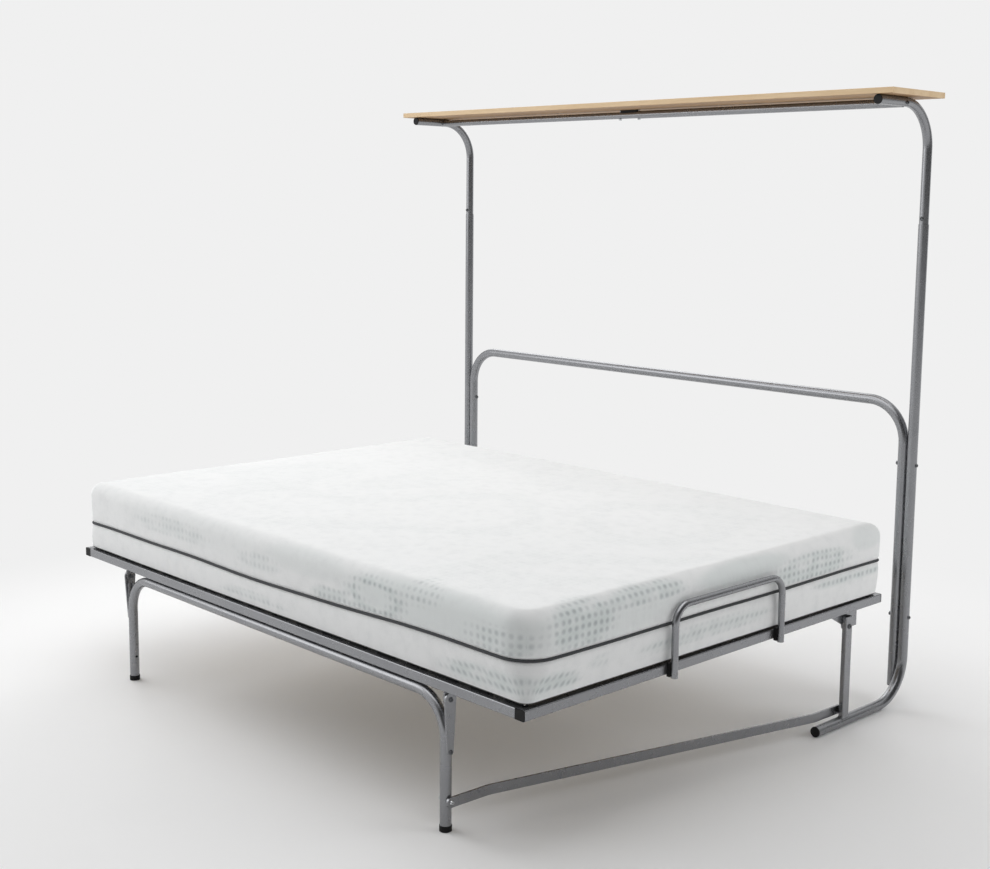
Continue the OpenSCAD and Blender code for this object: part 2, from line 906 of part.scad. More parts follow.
module mattress() {
    levels = concat(side_levels(), edge_levels(), crown_levels());
    rings = [for (l = levels) mattress_ring(l[0], l[1])];
    n = len(rings[0]);
    m = len(rings);
    points = concat([for (q = rings) each q], [[0, 0, 0], [0, 0, mattress_h + mattress_crown]]);
    walls = [for (j = [0 : m - 2], i = [0 : n - 1]) let (k = (i + 1) % n)
        each [[j * n + i, j * n + n + i, j * n + n + k], [j * n + i, j * n + n + k, j * n + k]]];
    caps = [for (i = [0 : n - 1]) let (k = (i + 1) % n)
        each [[i, k, m * n], [m * n - n + k, m * n - n + i, m * n + 1]]];
    color(cover_white)
        in_frame()
            translate([0, -mattress_mid_y, mattress_z])
                polyhedron(points = points, faces = concat(walls, caps), convexity = 4);
}

module mattress_piping() {
    in = mattress_draw - 0.3;
    x = mattress_x - in;
    y = mattress_half_y - in;
    color(piping_grey)
        in_frame()
            translate([0, -mattress_mid_y, mattress_z + piping_z])
                sweep([[0, -y, 0], [x, -y, 0], [x, y, 0], [-x, y, 0], [-x, -y, 0], [0, -y, 0]],
                      mattress_corner_r - in, [0, 0, 1])
                    circle(d = piping_d);
}

// Front legs

module leg_hoop() {
    steel_part()
        difference() {
            sweep([[-leg_x, -leg_y, foot_wall * 3], [-leg_x, -leg_y, leg_pivot_z],
                   [leg_x, -leg_y, leg_pivot_z], [leg_x, -leg_y, foot_wall * 3]],
                  leg_bend_r, [0, 1, 0])
                ring(leg_d, tube_wall);
            both_sides()
                leg_bolt_holes();
        }
}

// The link bar's hole goes through both walls of each leg; the left one stays empty
module leg_bolt_holes() {
    along_x([leg_x - leg_d, -leg_y, link_front_z])
        cylinder(d = link_bolt_d + 2 * bolt_play, h = 2 * leg_d);
    along_x([leg_x, -leg_y, leg_pivot_z - leg_plate_len])
        cylinder(d = screw_d + 2 * bolt_play, h = leg_d);
}

module leg_plate(s) {
    steel_part()
        at_side(s)
            difference() {
                translate([plate_in_x, -leg_y, leg_pivot_z])
                    rotate([90, 0, 90])
                        tapered_plate(plate_r, leg_plate_end_r, leg_plate_len, leg_plate_t);
                translate([leg_x, -leg_y, 0])
                    cylinder(d = leg_d, h = leg_pivot_z - leg_plate_t - plate_r);
                along_x([plate_in_x - 1, -leg_y, leg_pivot_z])
                    cylinder(d = link_bolt_d + 2 * bolt_play, h = leg_plate_t + 2);
                leg_bolt_holes();
            }
}

module leg_plate_bolts() {
    color(dark_steel)
        in_frame()
            both_sides()
                along_x([leg_x + leg_r / 2, -leg_y, leg_pivot_z - leg_plate_len]) {
                    cylinder(d = screw_d, h = leg_plate_screw_l);
                    translate([0, 0, leg_plate_screw_l])
                        bolt_head(head_d);
                }
}

module leg_feet() {
    color(black_plastic)
        in_frame()
            both_sides()
                translate([leg_x, -leg_y, 0])
                    difference() {
                        cylinder(d = leg_d + 2 * foot_wall, h = foot_h);
                        translate([0, 0, foot_wall * 3])
                            cylinder(d = leg_d + 0.1, h = foot_h);
                    }
}

module link_front_bolts() {
    color(bright_steel)
        in_frame()
            along_x([leg_x - leg_r, -leg_y, link_front_z])
                bolt(link_bolt_d, link_front_x + link_t + side_gap / 2 - leg_x + leg_r);
}

// Link bar

// Plan outline of the link bar, which runs from its rear pivot on y = 0 to its front pivot
function link_outline(rear, front, length) =
    let (turn = atan2(rear - front, length - 2 * link_end), half = link_t / 2, r = link_bend_r,
         cut = r * tan(turn / 2), c1 = [rear - r, cut - link_end], c2 = [front + r, link_end - cut - length])
    concat([[rear + half, 0]], arc(c1, r + half, 0, -turn, 6), arc(c2, r - half, 180 - turn, 180, 6),
           [[front + half, -length], [front - half, -length]],
           arc(c2, r + half, 180, 180 - turn, 6), arc(c1, r - half, -turn, 0, 6), [[rear - half, 0]]);

// Joggled flat bar between the two lower pivots; its middle runs aslant from the leg to the stand
module link_right() {
    front = link_front_x + link_t / 2;
    rear = link_rear_x + link_t / 2;
    run = leg_y - pivot_y;
    rise = link_front_z - link_rear_z;
    length = norm([run, rise]);
    steel_part()
        translate([0, -pivot_y, link_rear_z])
            rotate([-atan2(rise, run), 0, 0])
                difference() {
                    union() {
                        translate([0, 0, -link_h / 2])
                            linear_extrude(height = link_h)
                                polygon(link_outline(rear, front, length));
                        along_x([rear - link_t / 2, 0, 0])
                            cylinder(d = link_h + 2 * link_eye, h = link_t);
                        along_x([front - link_t / 2, -length, 0])
                            cylinder(d = link_h + 2 * link_eye, h = link_t);
                    }
                    along_x([rear - link_t, 0, 0])
                        cylinder(d = link_bolt_d + 2 * bolt_play, h = link_t * 2);
                    along_x([front - link_t, -length, 0])
                        cylinder(d = link_bolt_d + 2 * link_play, h = link_t * 2);
                }
}

lower_post(-1);  // lower_post_left
lower_post(1);  // lower_post_right
upper_post(-1);  // upper_post_left
upper_post(1);  // upper_post_right
headboard_hoop();
support_leg(-1);  // support_leg_left
support_leg(1);  // support_leg_right
beam_half(-1, beam_left_d, -beam_lap);  // beam_left
beam_half(1, beam_d, 0);  // beam_right
shelf_board();
shelf_spacer();
shelf_screws();
tube_end_caps();
hoop_end_caps();
post_joint_screws();
headboard_bolts();
beam_bolts();
bed_pivot_bolts();
link_rear_bolts();
link_spacers();
side_rail(-1);  // side_rail_left
side_rail(1);  // side_rail_right
foot_rail();
head_rail();
centre_rail();
rail_end_plugs();
pivot_bracket(-1);  // pivot_bracket_left
pivot_bracket(1);  // pivot_bracket_right
leg_lugs();
leg_pivot_bolts();
slats();
slat_holders();
retainer(-1);  // retainer_left
retainer(1);  // retainer_right
retainer_clamps();
retainer_bolts();
mattress();
mattress_piping();
leg_hoop();
leg_plate(-1);  // leg_plate_left
leg_plate(1);  // leg_plate_right
leg_plate_bolts();
leg_feet();
link_front_bolts();
link_right();
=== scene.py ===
"""Looks of a fold-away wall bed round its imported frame: finishes, mattress, welds, studio and camera."""

import logging
import math
from dataclasses import dataclass, field
from enum import Enum
from itertools import accumulate

import bpy
import numpy as np
from mathutils import Matrix, Vector, noise


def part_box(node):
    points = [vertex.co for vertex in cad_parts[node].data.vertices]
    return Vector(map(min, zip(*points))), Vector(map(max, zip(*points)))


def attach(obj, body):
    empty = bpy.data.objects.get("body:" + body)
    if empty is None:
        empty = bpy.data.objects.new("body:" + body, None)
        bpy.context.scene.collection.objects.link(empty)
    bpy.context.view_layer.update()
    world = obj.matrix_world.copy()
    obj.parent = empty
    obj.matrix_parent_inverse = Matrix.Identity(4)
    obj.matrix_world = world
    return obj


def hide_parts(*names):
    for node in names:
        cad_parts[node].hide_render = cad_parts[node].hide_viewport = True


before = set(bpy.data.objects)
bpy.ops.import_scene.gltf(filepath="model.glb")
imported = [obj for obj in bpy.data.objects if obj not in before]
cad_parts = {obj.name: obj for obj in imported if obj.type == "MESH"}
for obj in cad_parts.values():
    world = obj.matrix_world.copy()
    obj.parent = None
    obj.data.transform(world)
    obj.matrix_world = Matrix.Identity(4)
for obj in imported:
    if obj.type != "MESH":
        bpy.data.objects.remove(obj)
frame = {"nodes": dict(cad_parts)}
log = logging.getLogger("wall_bed")

Socket = bpy.types.NodeSocket
Material = bpy.types.Material
Piece = bpy.types.Object
Colour = tuple[float, float, float, float]
Point = tuple[float, float, float]
Span = tuple[float, float]

QUAD = ((0, 0), (1, 0), (1, 1), (0, 1))
HAIR = 1e-9  # a difference in metres that counts as none


class Body(Enum):
    """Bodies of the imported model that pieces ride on."""

    STAND = "stand"
    BED = "bed_frame"
    LEGS = "front_legs"


class Slot(Enum):
    """Names of the record's material slots for the new pieces; nothing in this script reads them."""

    TUBE = "silver_tube"
    COVER = "white_knit"
    PIPING = "grey_piping"


class Grain(Enum):
    """Axis along which wood grain runs."""

    X = 0
    Y = 1


class Signal:
    """A value socket that takes part in shader maths as a number would."""

    def __init__(self, graph: "Graph", socket: Socket) -> None:
        """Wraps a value output of a graph."""
        self.graph = graph
        self.socket = socket

    def apply(self, operation: str, *terms: "Signal | float") -> "Signal":
        """Returns the result of a Math node on these terms, in order."""
        return self.graph.signal("ShaderNodeMath", {"operation": operation}, dict(enumerate(terms)))

    def __add__(self, other: "Signal | float") -> "Signal":
        """Returns self + other."""
        return self.apply("ADD", self, other)

    def __radd__(self, other: "Signal | float") -> "Signal":
        """Returns other + self."""
        return self.apply("ADD", other, self)

    def __sub__(self, other: "Signal | float") -> "Signal":
        """Returns self - other."""
        return self.apply("SUBTRACT", self, other)

    def __rsub__(self, other: "Signal | float") -> "Signal":
        """Returns other - self."""
        return self.apply("SUBTRACT", other, self)

    def __mul__(self, other: "Signal | float") -> "Signal":
        """Returns self * other."""
        return self.apply("MULTIPLY", self, other)

    def __rmul__(self, other: "Signal | float") -> "Signal":
        """Returns other * self."""
        return self.apply("MULTIPLY", other, self)

    def __truediv__(self, other: "Signal | float") -> "Signal":
        """Returns self / other."""
        return self.apply("DIVIDE", self, other)

    def __rtruediv__(self, other: "Signal | float") -> "Signal":
        """Returns other / self."""
        return self.apply("DIVIDE", other, self)

    def __pow__(self, other: "Signal | float") -> "Signal":
        """Returns self raised to other."""
        return self.apply("POWER", self, other)

    def __rpow__(self, other: "Signal | float") -> "Signal":
        """Returns other raised to self."""
        return self.apply("POWER", other, self)

    def size(self) -> "Signal":
        """Returns the absolute value."""
        return self.apply("ABSOLUTE", self)

    def wave(self) -> "Signal":
        """Returns the sine."""
        return self.apply("SINE", self)

    def fraction(self) -> "Signal":
        """Returns the part after the decimal point."""
        return self.apply("FRACT", self)

    def greater(self, other: "Signal | float") -> "Signal":
        """Returns the larger of the two."""
        return self.apply("MAXIMUM", self, other)

    def ramp(self, low: float, high: float) -> "Signal":
        """Changes smoothly from 0 at low to 1 at high, whichever of them is larger.

        Args:
            low: Value that gives 0.
            high: Value that gives 1.

        Returns:
            The smooth step.
        """
        settings = {"interpolation_type": "SMOOTHSTEP"}
        if low <= high:
            return self.graph.signal("ShaderNodeMapRange", settings, {0: self, 1: low, 2: high})
        return self.graph.signal("ShaderNodeMapRange", settings, {0: self, 1: high, 2: low, 3: 1.0, 4: 0.0})


class Graph:
    """Node tree of one material or world, from its first node to its output."""

    def __init__(self, owner: Material | bpy.types.World) -> None:
        """Starts an empty tree.

        Args:
            owner: The material or world that it belongs to.
        """
        self.owner = owner
        owner.use_nodes = True
        self.tree = owner.node_tree
        self.tree.nodes.clear()

    @classmethod
    def of_material(cls, name: str) -> "Graph":
        """Starts the tree of a new material of this name."""
        return cls(bpy.data.materials.new(name))

    def node(self, kind: str, settings: dict | None = None, values: dict | None = None) -> bpy.types.Node:
        """Adds a node.

        Args:
            kind: The node's type.
            settings: Its properties, set first.
            values: Its inputs by name or index, as numbers, colours or links.

        Returns:
            The node.
        """
        made = self.tree.nodes.new(kind)
        for key, value in (settings or {}).items():
            setattr(made, key, value)
        for key, value in (values or {}).items():
            source = value.socket if isinstance(value, Signal) else value
            if isinstance(source, Socket):
                self.tree.links.new(source, made.inputs[key])
            else:
                made.inputs[key].default_value = source
        return made

    def signal(self, kind: str, settings: dict | None = None, values: dict | None = None,
               output: str | int = 0) -> Signal:
        """Adds a node and returns one of its outputs as a signal."""
        return Signal(self, self.node(kind, settings, values).outputs[output])

    def place(self) -> Socket:
        """Returns the place on the object in metres."""
        return self.node("ShaderNodeTexCoord").outputs["Object"]

    def uv_map(self, name: str) -> Socket:
        """Returns the place on one of the mesh's UV maps."""
        return self.node("ShaderNodeUVMap", {"uv_map": name}).outputs[0]

    def vertex_value(self, name: str) -> Signal:
        """Returns a value that the mesh's vertices carry."""
        return self.signal("ShaderNodeAttribute", {"attribute_name": name}, None, "Fac")

    def axes(self, vector: Socket) -> list[Signal]:
        """Returns the three parts of a vector."""
        split = self.node("ShaderNodeSeparateXYZ", None, {0: vector})
        return [Signal(self, split.outputs[i]) for i in range(3)]

    def stretched(self, vector: Socket, scale: Point) -> Socket:
        """Returns a vector with each axis scaled by its own factor."""
        return self.node("ShaderNodeVectorMath", {"operation": "MULTIPLY"}, {0: vector, 1: scale}).outputs[0]

    def grain(self, vector: Socket, scale: float, detail: float = 2.0, rough: float = 0.5) -> Signal:
        """Returns a noise about 0.5: its cells per unit, its octaves of detail and their weight."""
        values = {"Vector": vector, "Scale": scale, "Detail": detail, "Roughness": rough}
        return self.signal("ShaderNodeTexNoise", None, values)

    def pebbles(self, vector: Socket, scale: float) -> Signal:
        """Returns the distance from the middle of each of many small cells."""
        return self.signal("ShaderNodeTexVoronoi", None, {"Vector": vector, "Scale": scale}, "Distance")

    def colour(self, factor: Signal, low: Colour | Socket, high: Colour | Socket) -> Socket:
        """Returns a mix of two colours, 0 giving the first and 1 the second."""
        settings = {"data_type": "RGBA", "clamp_factor": True}
        return self.node("ShaderNodeMix", settings, {0: factor, 6: low, 7: high}).outputs[2]

    def bump(self, height: Signal, depth: float, strength: float) -> Socket:
        """Returns the normal of a relief: its height in shares of a depth in metres, and how much shows."""
        values = {"Strength": strength, "Distance": depth, "Height": height}
        return self.node("ShaderNodeBump", None, values).outputs[0]

    def shader_mix(self, factor: Signal, first: Socket, second: Socket) -> Socket:
        """Returns a mix of two shaders, 0 giving the first and 1 the second."""
        return self.node("ShaderNodeMixShader", None, {0: factor, 1: first, 2: second}).outputs[0]

    def finish(self, shader: Socket) -> Material:
        """Ends a material's tree with its last shader and returns the material."""
        self.node("ShaderNodeOutputMaterial", None, {"Surface": shader})
        return self.owner

    def principled(self, values: dict) -> Material:
        """Ends a material's tree with one Principled shader of these values and returns the material."""
        return self.finish(self.node("ShaderNodeBsdfPrincipled", None, values).outputs[0])


def tone(red: float, green: float, blue: float) -> Colour:
    """Turns display values of 0 to 255 into a linear colour.

    Args:
        red: Share of red.
        green: Share of green.
        blue: Share of blue.

    Returns:
        The linear colour, with full alpha.
    """
    def linear(value: float) -> float:
        """Returns one display value as a linear one."""
        share = value / 255
        return share / 12.92 if share <= 0.04045 else ((share + 0.055) / 1.055) ** 2.4

    return linear(red), linear(green), linear(blue), 1.0


@dataclass(frozen=True)
class TubePaint:
    """Satin metallic powder coat on steel tube."""

    name: str = "satin_grey_coat"
    light: Colour = tone(154, 155, 158)
    dark: Colour = tone(136, 137, 140)
    metallic: float = 0.85
    roughness: float = 0.27
    flake_scale: float = 1500.0
    mottle_scale: float = 9.0
    rub_scale: float = 26.0
    peel_scale: float = 420.0
    peel_depth: float = 0.000015
    rubbed: Span = (0.55, 0.75)

    def make(self) -> Material:
        """Makes the paint, with fine flake, soft mottling, orange peel and faintly rubbed spots.

        Returns:
            The material.
        """
        graph = Graph.of_material(self.name)
        place = graph.place()
        flake = graph.grain(place, self.flake_scale, 1.0)
        mottle = graph.grain(place, self.mottle_scale, 4.0, 0.6) - 0.5
        rub = graph.grain(place, self.rub_scale, 3.0).ramp(*self.rubbed)
        peel = graph.grain(place, self.peel_scale)
        shade = mottle * 0.8 + (flake - 0.5) * 0.2 + 0.5
        return graph.principled({
            "Base Color": graph.colour(shade, self.dark, self.light),
            "Metallic": self.metallic,
            "Roughness": mottle * 0.06 + rub * 0.04 + self.roughness,
            "Normal": graph.bump(peel + flake * 0.1, self.peel_depth, 0.5),
        })


@dataclass(frozen=True)
class Moulding:
    """Moulded black plastic or rubber with a fine eroded grain."""

    name: str
    light: Colour = tone(24, 24, 25)
    dark: Colour = tone(14, 14, 15)
    roughness: float = 0.5
    grain_depth: float = 0.00012
    pebble_scale: float = 900.0
    flow_scale: float = 35.0
    dust_scale: float = 130.0
    dusty: Span = (0.55, 0.85)

    def make(self) -> Material:
        """Makes the plastic, with moulding grain, faint flow marks and lighter dusty patches.

        Returns:
            The material.
        """
        graph = Graph.of_material(self.name)
        place = graph.place()
        flow = graph.grain(place, self.flow_scale, 3.0)
        dust = graph.grain(place, self.dust_scale, 4.0, 0.7).ramp(*self.dusty)
        return graph.principled({
            "Base Color": graph.colour((flow - 0.5) * 1.4 + 0.5 + dust * 0.35, self.dark, self.light),
            "Roughness": flow * 0.16 + dust * 0.14 + (self.roughness - 0.08),
            "Specular IOR Level": 0.2,
            "Normal": graph.bump(graph.pebbles(place, self.pebble_scale), self.grain_depth, 0.6),
        })


@dataclass(frozen=True)
class ZincSteel:
    """Zinc-plated steel of bolts and screws."""

    name: str
    light: Colour
    dark: Colour
    roughness: float
    spangle_scale: float = 420.0
    stain_scale: float = 90.0
    turning_scale: Point = (300.0, 2500.0, 2500.0)
    turning_depth: float = 0.00006

    def make(self) -> Material:
        """Makes the plating, with turning marks, spangle and small stains.

        Returns:
            The material.
        """
        graph = Graph.of_material(self.name)
        place = graph.place()
        stain = graph.grain(place, self.stain_scale, 4.0, 0.65)
        turning = graph.grain(graph.stretched(place, self.turning_scale), 1.0)
        shade = (stain - 0.5) * 1.5 + graph.pebbles(place, self.spangle_scale) * 0.5 + 0.3
        return graph.principled({
            "Base Color": graph.colour(shade, self.dark, self.light),
            "Metallic": 1.0,
            "Roughness": stain * 0.2 + (self.roughness - 0.1),
            "Normal": graph.bump(turning, self.turning_depth, 0.6),
        })


@dataclass(frozen=True)
class Timber:
    """Wood with grain along one axis: a lacquered board or laminated slats."""

    name: str
    pale: Colour
    deep: Colour
    along: Grain
    roughness: float
    plies: int = 0
    thickness: float = 0.016
    bottom: float = 0.0
    coat: float = 0.0
    # Painted shade: faces that look down take this darker brown in place of the wood's own colour.
    underside_shade: Colour | None = None
    underside_shade_deep: Colour = tone(128, 96, 66)
    glue: Colour = tone(120, 84, 50)
    stretch: float = 14.0
    fibre_run: Point = (6.0, 6.0, 120.0)  # factors on x and y, and the scale in height
    pore_run: Point = (20.0, 30.0, 500.0)
    figure_scale: float = 1.6
    fibre_scale: float = 3.2
    pore_scale: float = 2.4
    pore_depth: float = 0.00016
    pore_edge: Span = (0.64, 0.74)
    under_edge: Span = (0.6, 0.8)  # how far down a face looks where the painted underside shade comes in
    glue_edge: Span = (0.40, 0.5)
    tilted: Span = (0.3, 0.6)  # how far up or down a face looks where the glue lines fade
    glue_share: float = 0.6

    def make(self) -> Material:
        """Makes the wood, with figure, fibres and pores, glue lines where it is laminated, and painted shade
        on faces that look down where a shade colour is given.

        Returns:
            The material.
        """
        graph = Graph.of_material(self.name)
        place = graph.place()
        x, y = (1.0, self.stretch) if self.along is Grain.X else (self.stretch, 1.0)
        wide, thin, fine = (graph.stretched(place, (x * by_x, y * by_y, z)) for by_x, by_y, z in (
            (1.0, 1.0, self.stretch), self.fibre_run, self.pore_run))
        figure = graph.grain(wide, self.figure_scale, 5.0, 0.62)
        fibre = graph.grain(thin, self.fibre_scale, 4.0, 0.7)
        pore = graph.grain(fine, self.pore_scale, 1.0).ramp(*self.pore_edge)
        shade = (figure - 0.5) * 1.5 + (fibre - 0.5) * 0.9 + 0.45
        colour = graph.colour(shade, self.pale, self.deep)
        height = fibre * 0.5 - pore * 0.8
        facing = graph.axes(graph.node("ShaderNodeTexCoord").outputs["Normal"])[2]
        # Painted shade on the underside: faces that look down go to a darker brown.
        if self.underside_shade:
            painted_shade_under = (0.0 - facing).ramp(*self.under_edge)
            colour = graph.colour(painted_shade_under, colour, graph.colour(shade, self.underside_shade, self.underside_shade_deep))
        if self.plies:
            level = (graph.axes(place)[2] - self.bottom) / (self.thickness / self.plies)
            edge = (level.fraction() - 0.5).size().ramp(*self.glue_edge)
            upright = 1.0 - facing.size().ramp(*self.tilted)
            colour = graph.colour(edge * upright * self.glue_share, colour, self.glue)
            height = height - edge * upright
        return graph.principled({
            "Base Color": colour,
            "Roughness": (fibre - 0.5) * 0.2 + pore * 0.1 + self.roughness,
            "Normal": graph.bump(height, self.pore_depth, 0.7),
            "Specular IOR Level": 0.15,
            "Coat Weight": self.coat,
            "Coat Roughness": 0.35,
        })


@dataclass(frozen=True)
class KnitCover:
    """White knitted mattress cover with fields of sunk dimples, and painted shade in the dimples and along
    its lower edge.
    """

    name: str = "white_knit_cover"
    cover: Colour = tone(238, 239, 239)
    # Colour of the painted shade in the dimples' hollows; the loft term also darkens towards it.
    hollow: Colour = tone(158, 164, 167)
    field_tint: Colour = tone(216, 222, 221)
    # Painted shade: the underside and a narrow band up the lower edge are dark grey, standing in for the
    # shadowed gap above the rails.
    painted_shade_under: Colour = tone(80, 80, 82)
    painted_shade_deeper: Colour = tone(60, 60, 62)
    painted_shade_wrap: float = 0.0072
    painted_shade_edge: float = 0.0008
    pitch: Span = (0.0208, 0.0200)
    dot_share: float = 0.44
    stitch_pitch: float = 0.0055
    stitch_off: float = 0.0085
    pucker_scale: Point = (85.0, 9.0, 0.0)
    streak_scale: Point = (30.0, 4.0, 0.0)
    knit_scale: Point = (520.0, 760.0, 0.0)
    relief: float = 0.001
    hollow_shade_share: float = 0.64  # how far a dimple's middle goes to the painted shade of the hollow
    knit_share: float = 0.32
    loft_shade_share: float = 0.36
    loft_scale: float = 32.0
    depth_noise_scale: float = 60.0
    patch_scale: float = 20.0
    patch_edge: Span = (0.26, 0.56)
    dot_edge: Span = (1.12, 0.10)
    wobble_scale: float = 9.0
    wobble_share: float = 0.5
    stitch_half: Span = (0.0012, 0.0004)
    stitch_long: Span = (0.42, 0.30)
    pucker_reach: Span = (0.05, 0.004)
    streak_reach: Span = (0.16, 0.02)

    def dots(self, graph: Graph, place: Socket, cloth: Socket) -> Signal:
        """Draws the knit's dots on a slightly uneven grid.

        Args:
            graph: The cover's tree.
            place: Place on the object.
            cloth: Place on the cloth.

        Returns:
            1 in the middle of a dot, 0 between the dots.
        """
        wobble = (graph.grain(place, self.wobble_scale) - 0.5) * self.wobble_share
        u, v, _ = graph.axes(cloth)
        across = ((u / self.pitch[0] + wobble).fraction() - 0.5) / self.dot_share
        along = ((v / self.pitch[1] + wobble).fraction() - 0.5) / self.dot_share
        return ((across ** 2.0 + along ** 2.0) ** 0.5).ramp(*self.dot_edge)

    def make(self) -> Material:
        """Makes the cloth, with dimples, seam puckers, stitches and the knit's own fine relief, and with
        painted shade in the dimples, in low places of the loft and along the lower edge.

        Returns:
            The material.
        """
        graph = Graph.of_material(self.name)
        place = graph.place()
        cloth, run = graph.uv_map("cloth"), graph.uv_map("run")
        sunk, seam, zone = (graph.vertex_value(name) for name in ("dimple", "seam", "zone"))
        loft = graph.grain(place, self.loft_scale, 3.0, 0.55)
        depth_noise = graph.grain(place, self.depth_noise_scale, 1.0) * 0.7 + 0.65
        patchy = graph.grain(place, self.patch_scale).ramp(*self.patch_edge) * 0.7 + 0.3
        dimple = self.dots(graph, place, cloth) * sunk * depth_noise * patchy
        around, up, _ = graph.axes(run)
        stitch = (seam - self.stitch_off).size().ramp(*self.stitch_half)
        stitch = stitch * ((around / self.stitch_pitch).fraction() - 0.5).size().ramp(*self.stitch_long)
        near = seam.ramp(*self.pucker_reach)
        pucker = graph.grain(graph.stretched(run, self.pucker_scale), 1.0, 2.0, 0.4) - 0.5
        streak = graph.grain(graph.stretched(run, self.streak_scale), 1.0) - 0.5
        knit = graph.grain(graph.stretched(cloth, self.knit_scale), 1.0, 1.0)
        tint = (sunk * patchy).greater(zone * (loft * 0.6 + 0.6))
        colour = graph.colour(tint, self.cover, self.field_tint)
        # Painted shade: each dimple's middle is darkened towards the hollow's colour.
        colour = graph.colour(dimple * self.hollow_shade_share, colour, self.hollow)
        # Random knit tone, and painted shade where the loft noise sets the cover lower.
        knit_tone_and_loft_shade = (knit - 0.5) * self.knit_share + (0.55 - loft) * self.loft_shade_share
        colour = graph.colour(knit_tone_and_loft_shade, colour, self.hollow)
        # Painted shade along the lower edge and over the underside.
        below = up.ramp(self.painted_shade_wrap + self.painted_shade_edge, self.painted_shade_wrap)
        colour = graph.colour(below, colour, graph.colour(knit, self.painted_shade_under, self.painted_shade_deeper))
        height = (0.0 - dimple + pucker * near * 1.9 + streak * seam.ramp(*self.streak_reach) * 1.7
                  + knit * 0.12 + loft * 0.8 - stitch * 0.5 - near * 0.4)
        return graph.principled({
            "Base Color": colour,
            "Roughness": 0.92,
            "Sheen Weight": 0.12,
            "Sheen Roughness": 0.45,
            "Normal": graph.bump(height, self.relief, 0.9),
        })


@dataclass(frozen=True)
class PipingTape:
    """Dark grey woven tape round the mattress's piping."""

    name: str = "grey_piping_tape"
    light: Colour = tone(80, 82, 85)
    dark: Colour = tone(44, 45, 48)
    yarn_pitch: float = 0.0021
    yarn_slant: float = 3.0
    weft_slant: float = 5.0
    lint_scale: float = 700.0
    relief: float = 0.0003

    def make(self) -> Material:
        """Makes the tape, with slanted yarns, painted shade in their gaps, and lint.

        Returns:
            The material.
        """
        graph = Graph.of_material(self.name)
        u, v, _ = graph.axes(graph.uv_map("run"))
        turn = u / self.yarn_pitch
        yarn = ((turn + v * self.yarn_slant) * (2 * math.pi)).wave() * 0.5 + 0.5
        weft = ((turn - v * self.weft_slant) * (2 * math.pi)).wave() * 0.5 + 0.5
        lint = graph.grain(graph.place(), self.lint_scale, 3.0, 0.7)
        # The yarn and weft terms darken the tape where its relief is low: painted shade in the gaps between
        # yarns; lint adds random tone.
        shade = yarn * 0.5 + weft * 0.2 + (lint - 0.5) * 0.7
        return graph.principled({
            "Base Color": graph.colour(shade, self.dark, self.light),
            "Roughness": 0.88,
            "Sheen Weight": 0.1,
            "Normal": graph.bump(yarn * 0.7 + weft * 0.3 + lint * 0.4, self.relief, 0.8),
        })


@dataclass(frozen=True)
class StudioFloor:
    """Pale floor that fades into the plain background."""

    background: Colour
    name: str = "studio_floor"
    paint: Colour = tone(243, 243, 243)
    scuffed: Colour = tone(225, 225, 225)
    middle: Span = (0.2, -0.2)
    fade: Span = (1.3, 2.6)
    scuff_scale: float = 3.0
    scuff_share: float = 0.2

    def make(self) -> Material:
        """Makes the painted floor near the object and the plain background further off.

        Returns:
            The material.
        """
        graph = Graph.of_material(self.name)
        place = graph.place()
        x, y, _ = graph.axes(place)
        far = (((x - self.middle[0]) ** 2.0 + (y - self.middle[1]) ** 2.0) ** 0.5).ramp(*self.fade)
        scuff = graph.grain(place, self.scuff_scale, 4.0, 0.6)
        paint = graph.node("ShaderNodeBsdfPrincipled", None, {
            "Base Color": graph.colour((scuff - 0.5) * self.scuff_share, self.paint, self.scuffed),
            "Roughness": 0.75,
            "Specular IOR Level": 0.2,
        })
        plain = graph.node("ShaderNodeEmission", None, {"Color": self.background, "Strength": 1.0})
        return graph.finish(graph.shader_mix(far, paint.outputs[0], plain.outputs[0]))


def new_mesh(name: str, points: np.ndarray, faces: list, material: Material,
             loops: dict[str, np.ndarray] | None = None,
             values: dict[str, np.ndarray] | None = None) -> Piece:
    """Makes a smooth mesh object at the origin.

    Args:
        name: Name of the piece.
        points: Its vertices in metres.
        faces: Its faces as vertex numbers.
        material: Its finish.
        loops: UV maps by name, one row for each face corner in order.
        values: Vertex values by name.

    Returns:
        The object.
    """
    mesh = bpy.data.meshes.new(name)
    mesh.from_pydata([tuple(map(float, p)) for p in points], [], faces)
    for key, rows in (loops or {}).items():
        mesh.uv_layers.new(name=key).data.foreach_set("uv", np.asarray(rows, np.float32).ravel())
    for key, rows in (values or {}).items():
        mesh.attributes.new(key, "FLOAT", "POINT").data.foreach_set("value", np.asarray(rows, np.float32))
    mesh.materials.append(material)
    mesh.shade_smooth()
    mesh.validate()
    made = bpy.data.objects.new(name, mesh)
    bpy.context.scene.collection.objects.link(made)
    return made


def seat(piece: Piece, body: Body) -> Piece:
    """Lets a piece ride on a body.

    Args:
        piece: The piece, in place.
        body: The body that carries it.

    Returns:
        The piece.
    """
    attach(piece, body.value)
    return piece


def smooth_step(value: np.ndarray | float, low: float, high: float) -> np.ndarray | float:
    """Returns a smooth change from 0 at low to 1 at high."""
    share = np.clip((value - low) / (high - low), 0, 1)
    return share * share * (3 - 2 * share)


def closed(path: np.ndarray) -> np.ndarray:
    """Returns a path that ends at its first point again."""
    return np.vstack([path, path[:1]])


def gone_along(path: np.ndarray) -> np.ndarray:
    """Returns how far along a path each of its points lies."""
    return np.concatenate([[0], np.cumsum(np.linalg.norm(np.diff(path, axis=0), axis=1))])


